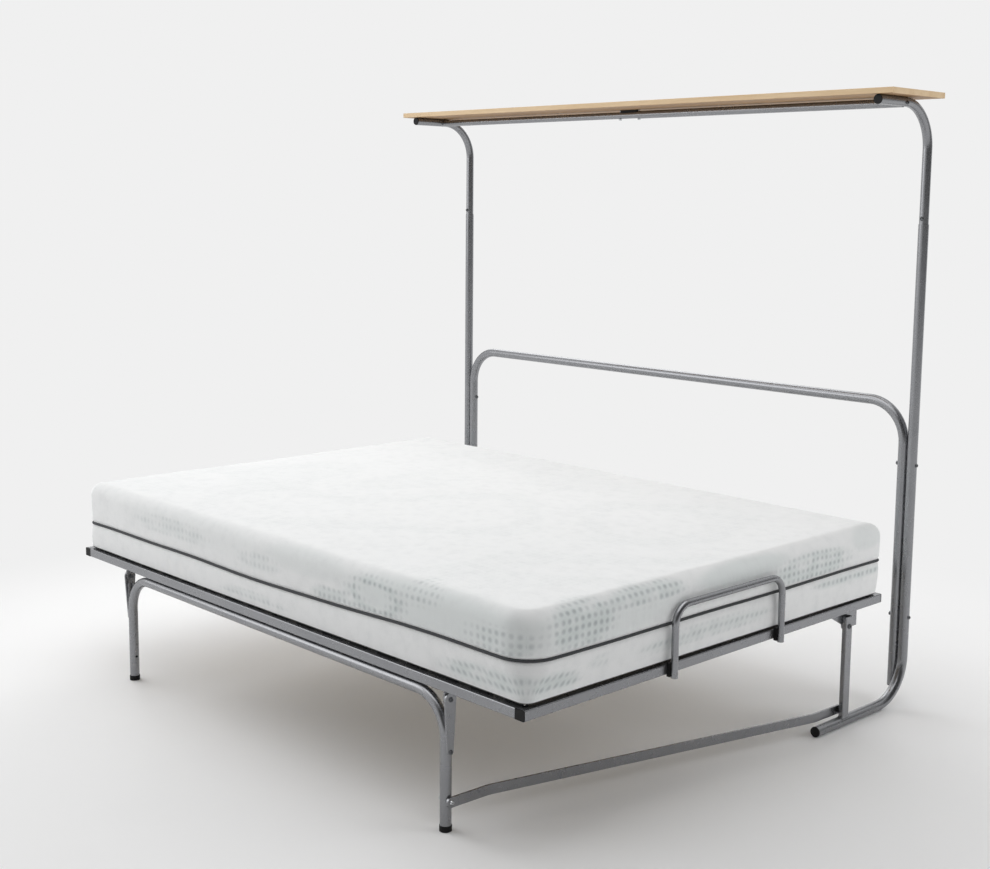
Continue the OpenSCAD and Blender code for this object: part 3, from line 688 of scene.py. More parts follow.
def tube_faces(start: int, count: int, sides: int, ring: bool) -> list[tuple[int, ...]]:
    """Lists the quads between loops of vertices that lie one after the other.

    Args:
        start: Number of the first vertex.
        count: How many loops there are.
        sides: Vertices in each loop.
        ring: Whether the last loop meets the first.

    Returns:
        The faces, loop by loop.
    """
    faces = []
    for i in range(count if ring else count - 1):
        here, there = start + i * sides, start + (i + 1) % count * sides
        for k in range(sides):
            m = (k + 1) % sides
            faces.append((here + k, there + k, there + m, here + m))
    return faces


@dataclass(frozen=True)
class DimpleField:
    """One field of dimples on the cover: an oval, or a ring where it is hollow."""

    centre: Point
    reach: Point
    strength: float = 1.0
    hollow: float = 0.0
    fade: Span = (0.70, 1.20)
    rim: Span = (-0.25, 0.15)

    def at(self, points: np.ndarray) -> np.ndarray:
        """Tells how strongly the field shows.

        Args:
            points: Places in metres, one row each.

        Returns:
            A share of 0 to 1 for each.
        """
        far = np.linalg.norm((points - self.centre) / self.reach, axis=1)
        shown = 1 - smooth_step(far, *self.fade)
        if self.hollow:
            shown = shown * smooth_step(far, self.hollow + self.rim[0], self.hollow + self.rim[1])
        return shown * self.strength


@dataclass
class Mattress:
    """Foam mattress in a knitted cover: a border and a top panel that meet at a piped seam."""

    height: float = 0.199
    crown: float = 0.0085
    crown_power: float = 2.4
    crown_slope: float = 0.2  # rows that face up more than this follow the crown
    corner_r: tuple[float, ...] = (0.084, 0.022, 0.040, 0.040)
    low_corner_r: float = 0.030
    least_corner_r: float = 0.006
    top_r: float = 0.040
    top_steps: int = 11
    flat_insets: tuple[float, ...] = (0.052, 0.066, 0.080, 0.094)
    bottom_r: float = 0.006
    bottom_turns: tuple[int, ...] = (0, 22, 45, 67, 90)
    low_rows: int = 9
    high_rows: int = 7
    still_rows: int = 3  # these rows at the underside don't swell
    draw: float = 0.004
    low_pull: float = 0.95
    high_pull: float = 0.9
    high_bow: Span = (0.15, 0.35)  # bow above the seam: its start and its length, in half turns
    seam_z: float = 0.090
    seam_drop: float = 0.017
    seam_front: Span = (-0.6, 0.2)
    seam_left: Span = (-0.85, 0.05)
    seam_waves: tuple[Point, ...] = ((0.0014, 5.3, 2.1), (0.0008, 13.0, -9.0))
    seam_draw: float = 0.78  # share of the draw at the seam
    seam_clear: float = 0.010  # rows nearer to the seam are those of seam_rows
    seam_rows: tuple[float, ...] = (-0.0065, -0.0038, -0.0015, 0.0015, 0.0038, 0.0065)
    groove: float = 0.0040
    groove_half: float = 0.0042
    piping_r: float = 0.0038
    piping_sides: int = 12
    piping_out: float = 0.0030  # how far the cord stands out of the groove's bottom
    sag: float = 0.0028
    sag_all: float = 0.0040
    sag_left: Span = (-0.6, 0.2)
    sag_rear: Span = (-0.5, 0.3)
    sag_height: float = 0.05
    wide_swell: Span = (2.6, 0.0016)
    fine_swell: Span = (9.0, 0.0007)
    fine_off: Point = (3.1, 0.4, 7.7)
    dimple_depth: float = 0.0011
    top_band: float = 0.01
    ribbon_scale: float = 2.1
    ribbon_off: Point = (4.2, 1.3, 0.6)
    ribbon_turns: float = 9.5
    ribbon_edge: Span = (0.25, 0.6)
    ribbon_side: float = 0.85
    ribbon_top: float = 0.08
    ribbon_fade: Span = (0.03, 0.005)
    plain_base: Span = (0.004, 0.02)  # dimples fade in over these distances
    plain_seam: Span = (0.007, 0.014)
    plain_side: Span = (0.10, 0.03)
    step: float = 0.012
    corner_steps: int = 5
    fields: list[DimpleField] = field(default_factory=lambda: [DimpleField(*row) for row in (
        ((0.470, -0.79, 0.511), (0.125, 0.09, 0.050), 1.0, 0.55),
        ((0.300, -0.79, 0.474), (0.100, 0.09, 0.022), 0.7),
        ((0.640, -0.77, 0.552), (0.075, 0.09, 0.028), 0.7),
        ((0.900, -0.79, 0.503), (0.115, 0.09, 0.034), 0.8),
        ((-0.485, -0.79, 0.517), (0.220, 0.09, 0.028), 0.35),
        ((-0.040, -0.79, 0.505), (0.110, 0.09, 0.025), 0.35),
        ((-0.070, -0.79, 0.392), (0.160, 0.05, 0.022), 0.4),
        ((0.900, -0.78, 0.400), (0.190, 0.09, 0.036), 0.9),
        ((0.995, -0.620, 0.525), (0.09, 0.115, 0.055), 1.0),
        ((0.990, -0.400, 0.552), (0.09, 0.150, 0.026), 0.8),
        ((0.995, 0.275, 0.508), (0.09, 0.180, 0.040), 0.9),
        ((0.990, -0.715, 0.402), (0.09, 0.085, 0.030), 0.9),
        ((0.995, -0.553, 0.427), (0.05, 0.040, 0.014), 0.3),
        ((0.995, -0.167, 0.421), (0.05, 0.260, 0.020), 0.55),
        ((0.995, 0.458, 0.447), (0.05, 0.170, 0.016), 0.9),
    )])
    zones: list[DimpleField] = field(default_factory=lambda: [DimpleField(*row) for row in (
        ((0.700, -0.79, 0.520), (0.380, 0.09, 0.060), 0.65),
        ((0.180, -0.79, 0.540), (0.200, 0.09, 0.035), 0.35),
        ((-0.350, -0.79, 0.530), (0.420, 0.09, 0.040), 0.15),
        ((0.995, -0.560, 0.520), (0.09, 0.300, 0.050), 0.5),
        ((0.995, -0.020, 0.545), (0.09, 0.200, 0.030), 0.7),
        ((0.995, 0.540, 0.545), (0.09, 0.080, 0.035), 0.5),
        ((0.300, 0.61, 0.530), (0.500, 0.09, 0.040), 0.4),
        ((-0.995, -0.200, 0.530), (0.09, 0.350, 0.040), 0.4),
    )])

    def __post_init__(self) -> None:
        """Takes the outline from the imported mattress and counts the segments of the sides."""
        low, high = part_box("mattress")
        self.half_x = (high.x - low.x) / 2
        self.half_y = (high.y - low.y) / 2
        self.mid_y = (low.y + high.y) / 2
        self.front_y, self.base_z = low.y, low.z
        self.count_x = round(2 * (self.half_x - self.low_corner_r) / self.step)
        self.count_y = round(2 * (self.half_y - self.low_corner_r) / self.step)
        self.grid_cols = self.count_x + 2 * self.corner_steps
        self.grid_rows = self.count_y + 2 * self.corner_steps
        self.seam_inset = self.draw * self.seam_draw

    def ring(self, inset: float, z: float) -> tuple[np.ndarray, np.ndarray]:
        """Draws the outline at an inset, turning left from the middle of the front right corner.

        Args:
            inset: Distance inside the full outline.
            z: Height above the underside; the corners are tighter near the underside.

        Returns:
            Points and outward directions in plan, one row each.
        """
        points, outward = [], []

        def arc(centre: Span, r: float, start: float) -> None:
            """Adds an eighth of a circle from an angle in degrees."""
            for i in range(self.corner_steps):
                a = math.radians(start + 45 * i / self.corner_steps)
                outward.append((math.cos(a), math.sin(a)))
                points.append((centre[0] + r * math.cos(a), centre[1] + r * math.sin(a)))

        rounding = float(smooth_step(z, 0.0, self.seam_z))
        low = self.low_corner_r
        radii = [max(low + (r - low) * rounding - inset, self.least_corner_r) for r in self.corner_r]
        signs = [(1, -1), (1, 1), (-1, 1), (-1, -1)]
        corners = [(sx * (self.half_x - inset - r), sy * (self.half_y - inset - r))
                   for (sx, sy), r in zip(signs, radii)]
        for k, corner in enumerate(corners):
            after, r, next_r = corners[(k + 1) % 4], radii[k], radii[(k + 1) % 4]
            straight = 90 * k
            arc(corner, r, straight - 45)
            a = math.radians(straight)
            ex, ey = math.cos(a), math.sin(a)
            start = (corner[0] + r * ex, corner[1] + r * ey)
            end = (after[0] + next_r * ex, after[1] + next_r * ey)
            count = (self.count_y, self.count_x)[k % 2]
            for share in (i / count for i in range(count)):
                points.append(tuple(s + (e - s) * share for s, e in zip(start, end)))
                outward.append((ex, ey))
            arc(after, next_r, straight)
        return np.array(points), np.array(outward)

    def profile(self) -> list[Point]:
        """Lists the rows of the cover's sides from the underside to the top.

        Returns:
            Inset, height and slope of the outward normal of each row.
        """
        rows = []
        for a in self.bottom_turns:
            t = math.radians(a)
            rows.append((self.draw + self.bottom_r * (1 - math.sin(t)), self.bottom_r * (1 - math.cos(t)),
                         t - math.pi / 2))
        low, high, top = self.bottom_r, self.seam_z, self.height - self.top_r
        for z in np.linspace(low, high - self.seam_clear, self.low_rows)[1:]:
            u = (z - low) / (high - low)
            rows.append((self.draw * (1 - self.low_pull * math.sin(math.pi * u)), z, 0.0))
        for dz in self.seam_rows:
            dip = math.exp(-(dz / self.groove_half) ** 2)
            rows.append((self.seam_inset + self.groove * dip, high + dz, 0.0))
        for z in np.linspace(high + self.seam_clear, top, self.high_rows):
            bow = self.high_bow[0] + self.high_bow[1] * ((z - high) / (top - high))
            rows.append((self.draw * (1 - math.sin(math.pi * bow)) * self.high_pull, z, 0.0))
        for k in range(1, self.top_steps + 1):
            t = math.pi / 2 * k / self.top_steps
            rows.append((self.top_r * (1 - math.cos(t)), top + self.top_r * math.sin(t), t))
        return rows + [(inset, self.height, math.pi / 2) for inset in self.flat_insets]

    def seam_shift(self, x: float, y: float, z: float) -> float:
        """Tells how far the cover is shifted up or down by the seam, which hangs lower along the front.

        Args:
            x: Place across the bed.
            y: Place in depth, from the mattress's middle.
            z: Height above the underside.

        Returns:
            The shift in metres.
        """
        front = 1 - smooth_step(y, *self.seam_front)
        left = smooth_step(-x, *self.seam_left)
        wave = sum(size * math.sin(by_x * x + by_y * y) for size, by_x, by_y in self.seam_waves)
        still = self.bottom_r if z < self.seam_z else self.height - self.top_r
        near = (z - still) / (self.seam_z - still)
        return float((wave - self.seam_drop * front * left) * max(near, 0.0))

    def edge_sag(self, x: float, y: float, z: float) -> float:
        """Returns how far the lower edge hangs below the slats, where it overhangs them."""
        along = max(smooth_step(-x, *self.sag_left), smooth_step(y, *self.sag_rear))
        return float((self.sag_all + self.sag * along) * (1 - smooth_step(z, 0.0, self.sag_height)))

    def crown_at(self, x: float, y: float) -> float:
        """Tells how far the top rises above its edge.

        Args:
            x: Place across the bed.
            y: Place in depth, from the mattress's middle.

        Returns:
            The rise in metres.
        """
        u = min(abs(x) / (self.half_x - self.top_r), 1.0)
        v = min(abs(y) / (self.half_y - self.top_r), 1.0)
        return self.crown * (1 - u ** self.crown_power) * (1 - v ** self.crown_power)

    def uneven(self, point: Vector) -> float:
        """Tells how far the cover swells out.

        Args:
            point: A place on the cover.

        Returns:
            The swell in metres.
        """
        (wide, wide_size), (fine, fine_size) = self.wide_swell, self.fine_swell
        off = Vector(self.fine_off)
        return noise.noise(point * wide) * wide_size + noise.noise(point * fine + off) * fine_size

    def interior(self, boundary: np.ndarray) -> np.ndarray:
        """Fills a ring with a grid between its four sides.

        Args:
            boundary: The ring's points in plan.

        Returns:
            Points of the grid inside the ring, by row from front to rear.
        """
        cols, rows = self.grid_cols, self.grid_rows
        right = boundary[: rows + 1]
        rear = boundary[rows: rows + cols + 1][::-1]
        left = boundary[rows + cols: 2 * rows + cols + 1][::-1]
        front = np.vstack([boundary[-cols:], boundary[:1]])
        u = np.linspace(0, 1, cols + 1)[None, :, None]
        v = np.linspace(0, 1, rows + 1)[:, None, None]
        grid = (1 - v) * front[None] + v * rear[None] + (1 - u) * left[:, None] + u * right[:, None]
        grid = grid - ((1 - u) * (1 - v) * front[0] + u * (1 - v) * front[-1]
                       + (1 - u) * v * rear[0] + u * v * rear[-1])
        return grid[1:-1, 1:-1].reshape(-1, 2)

    def grid_faces(self, ring_start: int, inner_start: int, upward: bool) -> list[tuple[int, ...]]:
        """Lists the faces of a grid whose border is a ring.

        Args:
            ring_start: Number of the ring's first vertex.
            inner_start: Number of the first vertex inside.
            upward: Whether the faces look up.

        Returns:
            The faces.
        """
        cols, rows = self.grid_cols, self.grid_rows
        ids = np.zeros((rows + 1, cols + 1), int)
        ids[1:-1, 1:-1] = inner_start + np.arange((rows - 1) * (cols - 1)).reshape(rows - 1, cols - 1)
        ids[:, -1] = ring_start + np.arange(rows + 1)
        ids[-1, ::-1] = ring_start + rows + np.arange(cols + 1)
        ids[::-1, 0] = ring_start + rows + cols + np.arange(rows + 1)
        ids[0, :] = ring_start + (2 * rows + cols + np.arange(cols + 1)) % (2 * (cols + rows))
        turn = 1 if upward else -1
        return [tuple(int(q) for q in (ids[j, i], ids[j, i + 1], ids[j + 1, i + 1], ids[j + 1, i])[::turn])
                for j in range(rows) for i in range(cols)]

    def dimples(self, points: np.ndarray, free_of_seam: np.ndarray) -> np.ndarray:
        """Tells how strongly dimples show at each vertex.

        Args:
            points: Vertices in metres.
            free_of_seam: For each, 0 at the piped seam and 1 away from it.

        Returns:
            A share of 0 to 1 for each.
        """
        shown = np.max([one.at(points) for one in self.fields], axis=0)
        x, y, z = points.T
        from_side, to_side = self.plain_side
        near_front = smooth_step(y, self.front_y + from_side, self.front_y + to_side)
        near_end = smooth_step(x, self.half_x - from_side, self.half_x - to_side)
        off = Vector(self.ribbon_off)
        ribbons = np.array([math.sin(self.ribbon_turns * noise.noise(Vector(p) * self.ribbon_scale + off))
                            for p in points])
        edge_z = self.base_z + self.height
        top = smooth_step(z, edge_z - self.ribbon_fade[0], edge_z - self.ribbon_fade[1])
        free = 1 - np.maximum(near_front, near_end)
        level = self.ribbon_side - (self.ribbon_side - self.ribbon_top) * top
        shown = np.maximum(shown, smooth_step(ribbons, *self.ribbon_edge) * free * level)
        off_base = smooth_step(z, self.base_z + self.plain_base[0], self.base_z + self.plain_base[1])
        return shown * free_of_seam * off_base

    def side_points(self, rows: list[Point], outward: np.ndarray) -> list[Point]:
        """Places the vertices of the cover's sides.

        Args:
            rows: The profile.
            outward: Outward direction in plan of each vertex of a row.

        Returns:
            The vertices, row by row.
        """
        points = []
        for j, (inset, z, slope) in enumerate(rows):
            plan, _ = self.ring(inset, z)
            for (x, y), (out_x, out_y) in zip(plan, outward):
                rise = (self.crown_at(x, y) if slope > self.crown_slope
                        else self.seam_shift(x, y, z) - self.edge_sag(x, y, z))
                here = Vector((x, y + self.mid_y, self.base_z + z + rise))
                swell = 0.0 if j < self.still_rows else self.uneven(here)
                points.append((here.x + out_x * math.cos(slope) * swell,
                               here.y + out_y * math.cos(slope) * swell,
                               here.z + math.sin(slope) * swell))
        return points

    def panel_point(self, x: float, y: float, upward: bool) -> Point:
        """Places a vertex of the top or the underside.

        Args:
            x: Place across the bed.
            y: Place in depth, from the mattress's middle.
            upward: Whether it lies on the top.

        Returns:
            The vertex.
        """
        rise = self.crown_at(x, y) + self.height if upward else 0.0
        here = Vector((x, y + self.mid_y, self.base_z + rise))
        return here.x, here.y, here.z + (self.uneven(here) if upward else 0.0)

    def build(self, cover: Material) -> Piece:
        """Builds the covered mattress.

        Args:
            cover: The cover's finish.

        Returns:
            The piece.
        """
        rows = self.profile()
        outer, outward = self.ring(0.0, self.seam_z)
        n = len(outer)
        around = gone_along(closed(outer))
        up = list(accumulate((math.hypot(b[0] - a[0], b[1] - a[1]) for a, b in zip(rows, rows[1:])),
                             initial=0.0))
        seam_row = min(range(len(rows)), key=lambda i: abs(rows[i][1] - self.seam_z))
        edge_row = next(i for i, row in enumerate(rows) if row[1] >= self.height - HAIR)
        edge, _ = self.ring(rows[edge_row][0], self.height)
        points = self.side_points(rows, outward)
        lift = [abs(here - up[seam_row]) for here in up for _ in range(n)]
        cloth = [edge + outward * (up[edge_row] - here) for here in up]
        faces = [(j * n + i, j * n + (i + 1) % n, j * n + n + (i + 1) % n, j * n + n + i)
                 for j in range(len(rows) - 1) for i in range(n)]
        run_loops = [(around[i + right], up[j + above]) for j in range(len(rows) - 1) for i in range(n)
                     for right, above in QUAD]
        panels = []
        for upward, row in ((True, len(rows) - 1), (False, 0)):
            grid = self.interior(self.ring(*rows[row][:2])[0])
            more = self.grid_faces(row * n, len(points), upward)
            points += [self.panel_point(x, y, upward) for x, y in grid]
            lift += [1.0] * len(grid)
            cloth.append(grid)
            faces += more
            panels += more
            run_loops += [(0.0, float(upward))] * (4 * len(more))
        cloth = np.vstack(cloth)
        cloth_loops = run_loops[: -4 * len(panels)] + [cloth[number] for face in panels for number in face]
        points, lift = np.array(points), np.array(lift)
        free_of_seam = smooth_step(lift, *self.plain_seam)
        mask = self.dimples(points, free_of_seam)
        zone = np.max([one.at(points) for one in self.zones], axis=0) * free_of_seam
        on_top = points[:, 2] > self.base_z + self.height - self.top_band
        points[:, 2] -= np.where(on_top, mask * self.dimple_depth, 0)
        made = new_mesh("mattress_cover", points, faces, cover,
                        {"cloth": np.array(cloth_loops), "run": np.array(run_loops)},
                        {"dimple": mask, "seam": lift, "zone": zone})
        seat(made, Body.BED)
        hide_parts("mattress")
        return made

    def build_piping(self, tape: Material) -> Piece:
        """Builds the piping that is sewn into the seam.

        Args:
            tape: The tape's finish.

        Returns:
            The piece.
        """
        plan, outward = self.ring(self.seam_inset + self.groove - self.piping_out, self.seam_z)
        n, sides = len(plan), self.piping_sides
        around = gone_along(closed(plan))
        points = []
        for (x, y), (out_x, out_y) in zip(plan, outward):
            drop = self.seam_shift(x, y, self.seam_z)
            here = Vector((x, y + self.mid_y, self.base_z + self.seam_z + drop))
            shift = self.uneven(here)
            for a in (2 * math.pi * k / sides for k in range(sides)):
                out, rise = shift + self.piping_r * math.cos(a), self.piping_r * math.sin(a)
                points.append((here.x + out_x * out, here.y + out_y * out, here.z + rise))
        loops = [(around[i + right], (k + above) / sides) for i in range(n) for k in range(sides)
                 for right, above in QUAD]
        made = new_mesh("mattress_piping_cord", np.array(points), tube_faces(0, n, sides, True), tape,
                        {"run": np.array(loops)})
        seat(made, Body.BED)
        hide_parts("mattress_piping")
        return made


@dataclass
class WeldLine:
    """One weld bead along a line of points in metres."""

    points: list[Point]
    closed: bool = False


@dataclass
class Welds:
    """Beads where the steel pieces are welded together."""

    bead_r: float = 0.0019
    bead_step: float = 0.0011
    bead_sides: int = 8
    bead_taper: float = 0.003
    bead_end: float = 0.02
    bead_least: int = 6
    askew: Point = (0.31, 0.23, 0.92)  # no bead runs this way
    ripple: float = 0.0032
    ripple_share: float = 0.14
    rough_share: float = 0.05
    rough_scale: float = 400
    face_gap: float = 0.0004
    rail_gap: float = 0.0006
    post_x: float = 0.975
    tube_r: float = 0.015
    leg_x: Span = (0.9717, 0.9867)
    foot_steps: int = 7
    pivot_y: float = 0.484
    support_half: float = 0.015
    rail_in_x: float = 0.971
    rail_z: float = 0.342
    bracket_y: Span = (0.392, 0.542)
    lug_x: Span = (0.7353, 0.7403)
    lug_half: float = 0.014
    hoop_x: float = 0.729
    hoop_r: float = 0.014
    hoop_y: float = -0.792
    plate_x: float = 0.741
    plate_z: Span = (0.200, 0.305)
    cross_rails: tuple[Point, ...] = (
        (-0.803, -0.773, 0.342),
        (0.590, 0.620, 0.342),
        (-0.1065, -0.0765, 0.3437),
    )
    cross_clear: float = 0.003
    cross_top: float = 0.0215
    open_y: Span = (-0.8, 0.615)  # faces beyond it are flush with the side rails' ends

    def support_foot(self, side: int) -> WeldLine:
        """Draws the bead round a support leg's foot on its foot tube.

        Args:
            side: 1 for the right leg, -1 for the left.

        Returns:
            The bead.
        """
        def on_tube(x: float, y: float) -> Point:
            """Returns the tube's surface at a place in plan."""
            return side * x, y, self.tube_r + math.sqrt(self.tube_r ** 2 - (x - self.post_x) ** 2)

        inner, outer = self.leg_x
        front, rear = self.pivot_y - self.support_half, self.pivot_y + self.support_half
        across = np.linspace(inner, outer, self.foot_steps)
        line = [on_tube(x, front) for x in across] + [on_tube(x, rear) for x in across[::-1]]
        return WeldLine(line, True)

    def stand_lines(self) -> list[WeldLine]:
        """Lists the stand's beads."""
        return [self.support_foot(side) for side in (-1, 1)]

    def bed_lines(self) -> list[WeldLine]:
        """Lists the bed frame's beads: brackets, lugs and the ends of the cross rails.

        Returns:
            The beads.
        """
        lines = []
        low = self.rail_z - self.rail_gap
        lug_y = (self.hoop_y - self.lug_half, self.hoop_y + self.lug_half)
        for side in (-1, 1):
            outer, inner = side * (self.rail_in_x + self.face_gap), side * (self.rail_in_x - self.face_gap)
            lines.append(WeldLine([(outer, y, low) for y in self.bracket_y]))
            lines += [WeldLine([(side * lug, y, low) for y in lug_y]) for lug in self.lug_x]
            for front, rear, z in self.cross_rails:
                rise = (z + self.cross_clear, z + self.cross_top)
                lines += [WeldLine([(inner, y, h) for h in rise]) for y in (front, rear)
                          if self.open_y[0] <= y <= self.open_y[1]]
                span = (front + self.cross_clear, rear - self.cross_clear)
                lines.append(WeldLine([(inner, y, z - self.face_gap) for y in span]))
        return lines

    def leg_lines(self) -> list[WeldLine]:
        """Lists the beads between leg plates and leg tubes."""
        reach = math.sqrt(self.hoop_r ** 2 - (self.plate_x - self.hoop_x) ** 2) + self.face_gap
        return [WeldLine([(side * (self.plate_x - self.face_gap), self.hoop_y + turn * reach, z)
                          for z in self.plate_z]) for side in (-1, 1) for turn in (-1, 1)]

    def bead(self, line: WeldLine, points: list, faces: list) -> None:
        """Adds one rippled bead to a mesh.

        Args:
            line: Where the bead runs.
            points: The mesh's vertices, added to.
            faces: The mesh's faces, added to.
        """
        path = closed(np.array(line.points)) if line.closed else np.array(line.points)
        gone = gone_along(path)
        count = max(self.bead_least, round(gone[-1] / self.bead_step))
        at = np.linspace(0, gone[-1], count + 1)
        fine = np.stack([np.interp(at, gone, path[:, k]) for k in range(3)], axis=1)
        start, total = len(points), len(fine) - (1 if line.closed else 0)
        for i in range(total):
            ahead = fine[(i + 1) % total if line.closed else min(i + 1, total - 1)]
            way = Vector(ahead - fine[i - 1 if i else 0]).normalized()
            side = way.cross(Vector(self.askew)).normalized()
            top = way.cross(side)
            end = math.sqrt(min(at[i], at[-1] - at[i]) / self.bead_taper + self.bead_end)
            wave = abs(math.sin(math.pi * at[i] / self.ripple))
            rough = noise.noise(Vector(fine[i] * self.rough_scale))
            beat = 1 - self.ripple_share * (1 - wave) + self.rough_share * rough
            r = self.bead_r * (1.0 if line.closed else min(1.0, end)) * beat
            for a in (2 * math.pi * k / self.bead_sides for k in range(self.bead_sides)):
                points.append(Vector(fine[i]) + side * (r * math.cos(a)) + top * (r * math.sin(a)))
        faces += tube_faces(start, total, self.bead_sides, line.closed)

    def build(self, name: str, lines: list[WeldLine], body: Body, paint: Material) -> Piece:
        """Builds the beads of one body as one piece.

        Args:
            name: Name of the piece.
            lines: Its beads.
            body: The body that carries it.
            paint: Its finish.

        Returns:
            The piece.
        """
        points, faces = [], []
        for line in lines:
            self.bead(line, points, faces)
        return seat(new_mesh(name, np.array([tuple(p) for p in points]), faces, paint), body)


class Finishes:
    """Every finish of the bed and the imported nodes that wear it."""

    def __init__(self) -> None:
        """Makes the materials."""
        self.paint = TubePaint().make()
        self.plastic = Moulding("moulded_black_plastic").make()
        self.rubber = Moulding("black_rubber_foot", tone(34, 34, 34), tone(20, 20, 20), roughness=0.7,
                               grain_depth=0.0002).make()
        self.dark_bolt = ZincSteel("dark_zinc_bolt", tone(120, 122, 125), tone(78, 80, 83),
                                   roughness=0.38).make()
        self.bright_bolt = ZincSteel("bright_zinc_bolt", tone(222, 224, 226), tone(176, 178, 181),
                                     roughness=0.26).make()
        # The board's underside colour is painted shade.
        self.board = Timber("beech_board", tone(220, 197, 164), tone(194, 164, 126), Grain.X, roughness=0.5,
                            coat=0.04, underside_shade=tone(176, 142, 104)).make()
        self.slat = Timber("beech_slat", tone(228, 214, 190), tone(204, 184, 154), Grain.Y, roughness=0.55,
                           plies=5, thickness=0.008, bottom=0.3687).make()
        self.cover = KnitCover().make()
        self.tape = PipingTape().make()

    def of_node(self, name: str) -> Material:
        """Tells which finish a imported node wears.

        Args:
            name: The node's name.

        Returns:
            The material.
        """
        named = {
            "shelf_board": self.board, "slats": self.slat, "leg_feet": self.rubber,
            "shelf_screws": self.bright_bolt, "link_front_bolts": self.bright_bolt,
            "mattress": self.cover, "mattress_piping": self.tape,
        }
        if name in named:
            return named[name]
        if name.endswith(("_bolts", "_screws")):
            return self.dark_bolt
        black = ("caps", "plugs", "spacer", "spacers", "holders", "clamps")
        return self.plastic if name.endswith(black) else self.paint

    def dress(self, nodes: dict[str, Piece]) -> None:
        """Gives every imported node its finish.

        Args:
            nodes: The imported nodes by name.
        """
        for name, piece in sorted(nodes.items()):
            made = self.of_node(name)
            if not piece.material_slots:
                piece.data.materials.append(made)
            for slot in piece.material_slots:
                slot.material = made
            log.info("dressed %s with %s", name, made.name)


@dataclass(frozen=True)
class SoftBox:
    """One rectangular lamp: where it hangs, its aim, width and height, watts, and whether gloss shows it."""

    name: str
    at: Point
    aim: Point
    size: Span
    power: float
    mirrored: bool = True

    def hang(self) -> None:
        """Adds the lamp to the scene."""
        data = bpy.data.lights.new(self.name, "AREA")
        data.shape = "RECTANGLE"
        data.size, data.size_y = self.size
        data.energy = self.power
        made = bpy.data.objects.new(self.name, data)
        made.location = self.at
        made.visible_glossy = self.mirrored
        made.rotation_euler = (Vector(self.aim) - Vector(self.at)).to_track_quat("-Z", "Y").to_euler()
        bpy.context.scene.collection.objects.link(made)


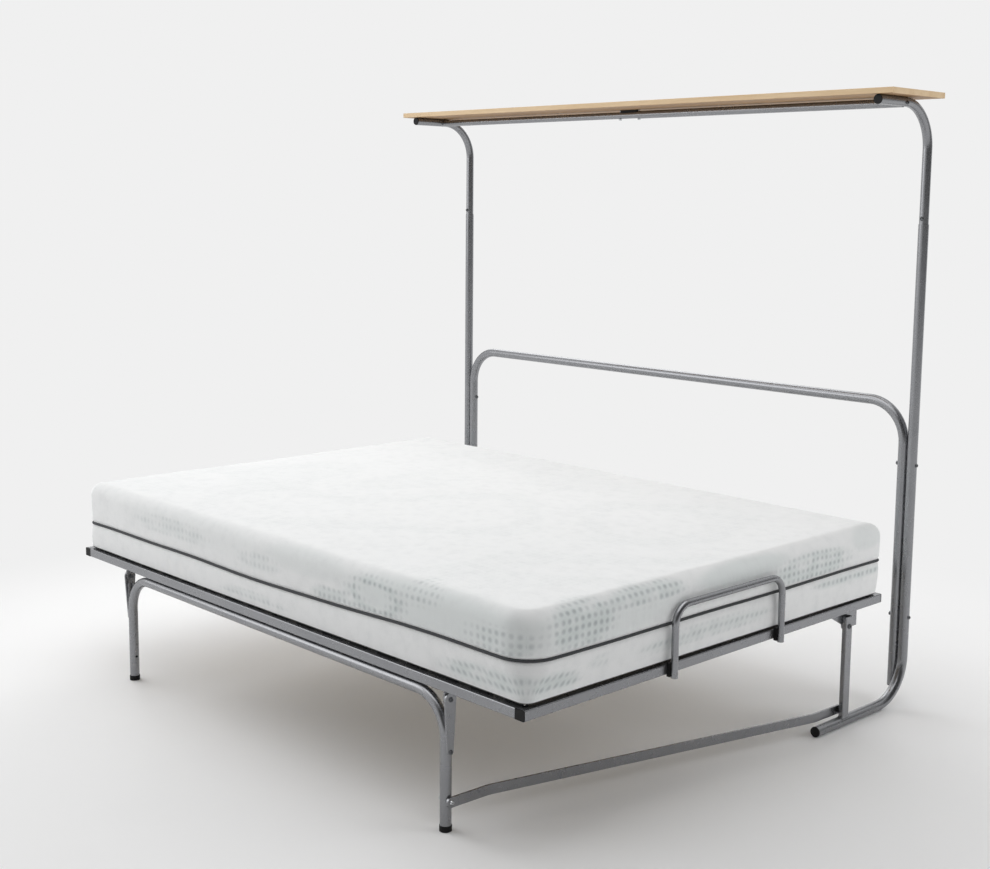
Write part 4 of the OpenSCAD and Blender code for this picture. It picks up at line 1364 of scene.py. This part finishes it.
@dataclass
class Studio:
    """Floor, background, lamps and camera."""

    background: Colour = tone(240, 240, 240)
    floor_rings: tuple[float, ...] = (0.6, 1.2, 2.0, 3.0, 4.5, 7.0, 11.0, 16.0)
    floor_sides: int = 48
    floor_z: float = -0.0005
    fill: float = 0.15
    dark_way: Point = (0.978, -0.208, 0.0)
    dark_edge: Span = (0.0, 0.6)
    dark_share: float = 0.03
    camera_at: Point = (3.1533, -2.8922, 1.4677)
    yaw: float = 45.58
    pitch: float = 7.96
    roll: float = 0.72
    lens: float = 52.10
    sensor: float = 36.0
    shift: Span = (-0.0399, -0.0325)
    view_end: float = 100.0
    boxes: tuple[SoftBox, ...] = (
        SoftBox("rear_box", (-2.7, 2.6, 3.3), (0.1, -0.1, 0.3), (3.0, 2.6), 45.0),
        SoftBox("over_box", (0.4, -0.8, 3.6), (0.1, -0.2, 0.0), (4.0, 4.0), 62.0),
        SoftBox("right_box", (4.0, 2.2, 2.2), (0.6, 0.2, 0.3), (2.4, 1.8), 44.0, False),
        SoftBox("front_left_box", (-3.0, -3.4, 2.6), (0.0, 0.0, 0.4), (3.0, 2.6), 42.0),
        SoftBox("left_box", (-6.6, -0.8, 2.3), (0.0, -0.2, 0.2), (6.0, 3.0), 360.0, False),
        SoftBox("far_rear_box", (0.6, 5.5, 1.5), (0.3, 0.0, 0.1), (6.0, 2.6), 150.0, False),
    )

    def floor(self) -> None:
        """Builds the round floor as rings of quads."""
        sides = self.floor_sides
        turns = [2 * math.pi * k / sides for k in range(sides)]
        points = [(0.0, 0.0, 0.0)]
        points += [(r * math.cos(a), r * math.sin(a), 0.0) for r in self.floor_rings for a in turns]
        faces = [(0, 1 + k, 1 + (k + 1) % sides) for k in range(sides)]
        faces += tube_faces(1, len(self.floor_rings), sides, False)
        made = new_mesh("studio_floor", np.array(points), faces, StudioFloor(self.background).make())
        made.location.z = self.floor_z

    def world(self) -> None:
        """Sets the plain background, softer as light than it shows; metal also mirrors one darker wall."""
        world = bpy.data.worlds.new("studio")
        bpy.context.scene.world = world
        graph = Graph(world)
        path = graph.node("ShaderNodeLightPath")
        camera, gloss, through = (Signal(graph, path.outputs[kind]) for kind in
                                  ("Is Camera Ray", "Is Glossy Ray", "Is Transmission Ray"))
        way = graph.node("ShaderNodeTexCoord").outputs["Generated"]
        toward = graph.signal("ShaderNodeVectorMath", {"operation": "DOT_PRODUCT"},
                              {0: way, 1: self.dark_way}, "Value")
        white = (1.0, 1.0, 1.0, 1.0)
        levels = ((self.background, 1.0), (self.background, self.dark_share), (white, self.fill))
        plain, dim, soft = (graph.node("ShaderNodeBackground", None, {0: colour, 1: strength}).outputs[0]
                            for colour, strength in levels)
        shown = graph.shader_mix(toward.ramp(*self.dark_edge) * (1.0 - camera), plain, dim)
        whole = graph.shader_mix(camera.greater(gloss).greater(through), soft, shown)
        graph.node("ShaderNodeOutputWorld", None, {"Surface": whole})

    def camera(self) -> None:
        """Places the camera at the photograph's angle."""
        yaw, pitch, roll = (math.radians(v) for v in (self.yaw, self.pitch, self.roll))
        ahead = Vector((-math.sin(yaw) * math.cos(pitch), math.cos(yaw) * math.cos(pitch), -math.sin(pitch)))
        right = ahead.cross(Vector((0, 0, 1))).normalized()
        up = right.cross(ahead)
        across = right * math.cos(roll) + up * math.sin(roll)
        above = up * math.cos(roll) - right * math.sin(roll)
        data = bpy.data.cameras.new("camera")
        data.lens = self.lens
        data.sensor_width = self.sensor
        data.shift_x, data.shift_y = self.shift
        data.clip_end = self.view_end
        made = bpy.data.objects.new("camera", data)
        turn = Matrix((across, above, -ahead)).transposed().to_4x4()
        made.matrix_world = Matrix.Translation(self.camera_at) @ turn
        bpy.context.scene.collection.objects.link(made)
        bpy.context.scene.camera = made

    def build(self) -> None:
        """Builds the whole studio."""
        self.floor()
        self.world()
        for box in self.boxes:
            box.hang()
        self.camera()
        bpy.context.scene.view_settings.view_transform = "Standard"


def main() -> None:
    """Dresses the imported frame, adds the pieces made here and sets up the studio."""
    logging.basicConfig(level=logging.INFO, format="%(name)s: %(message)s")
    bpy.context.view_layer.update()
    finishes = Finishes()
    finishes.dress(frame["nodes"])
    mattress = Mattress()
    log.info("built %s", mattress.build(finishes.cover).name)
    log.info("built %s", mattress.build_piping(finishes.tape).name)
    welds = Welds()
    for name, lines, body in (("stand_welds", welds.stand_lines(), Body.STAND),
                              ("bed_frame_welds", welds.bed_lines(), Body.BED),
                              ("leg_welds", welds.leg_lines(), Body.LEGS)):
        log.info("built %s", welds.build(name, lines, body, finishes.paint).name)
    Studio().build()
    log.info("the model is complete")


if __name__ == "__main__":
    main()
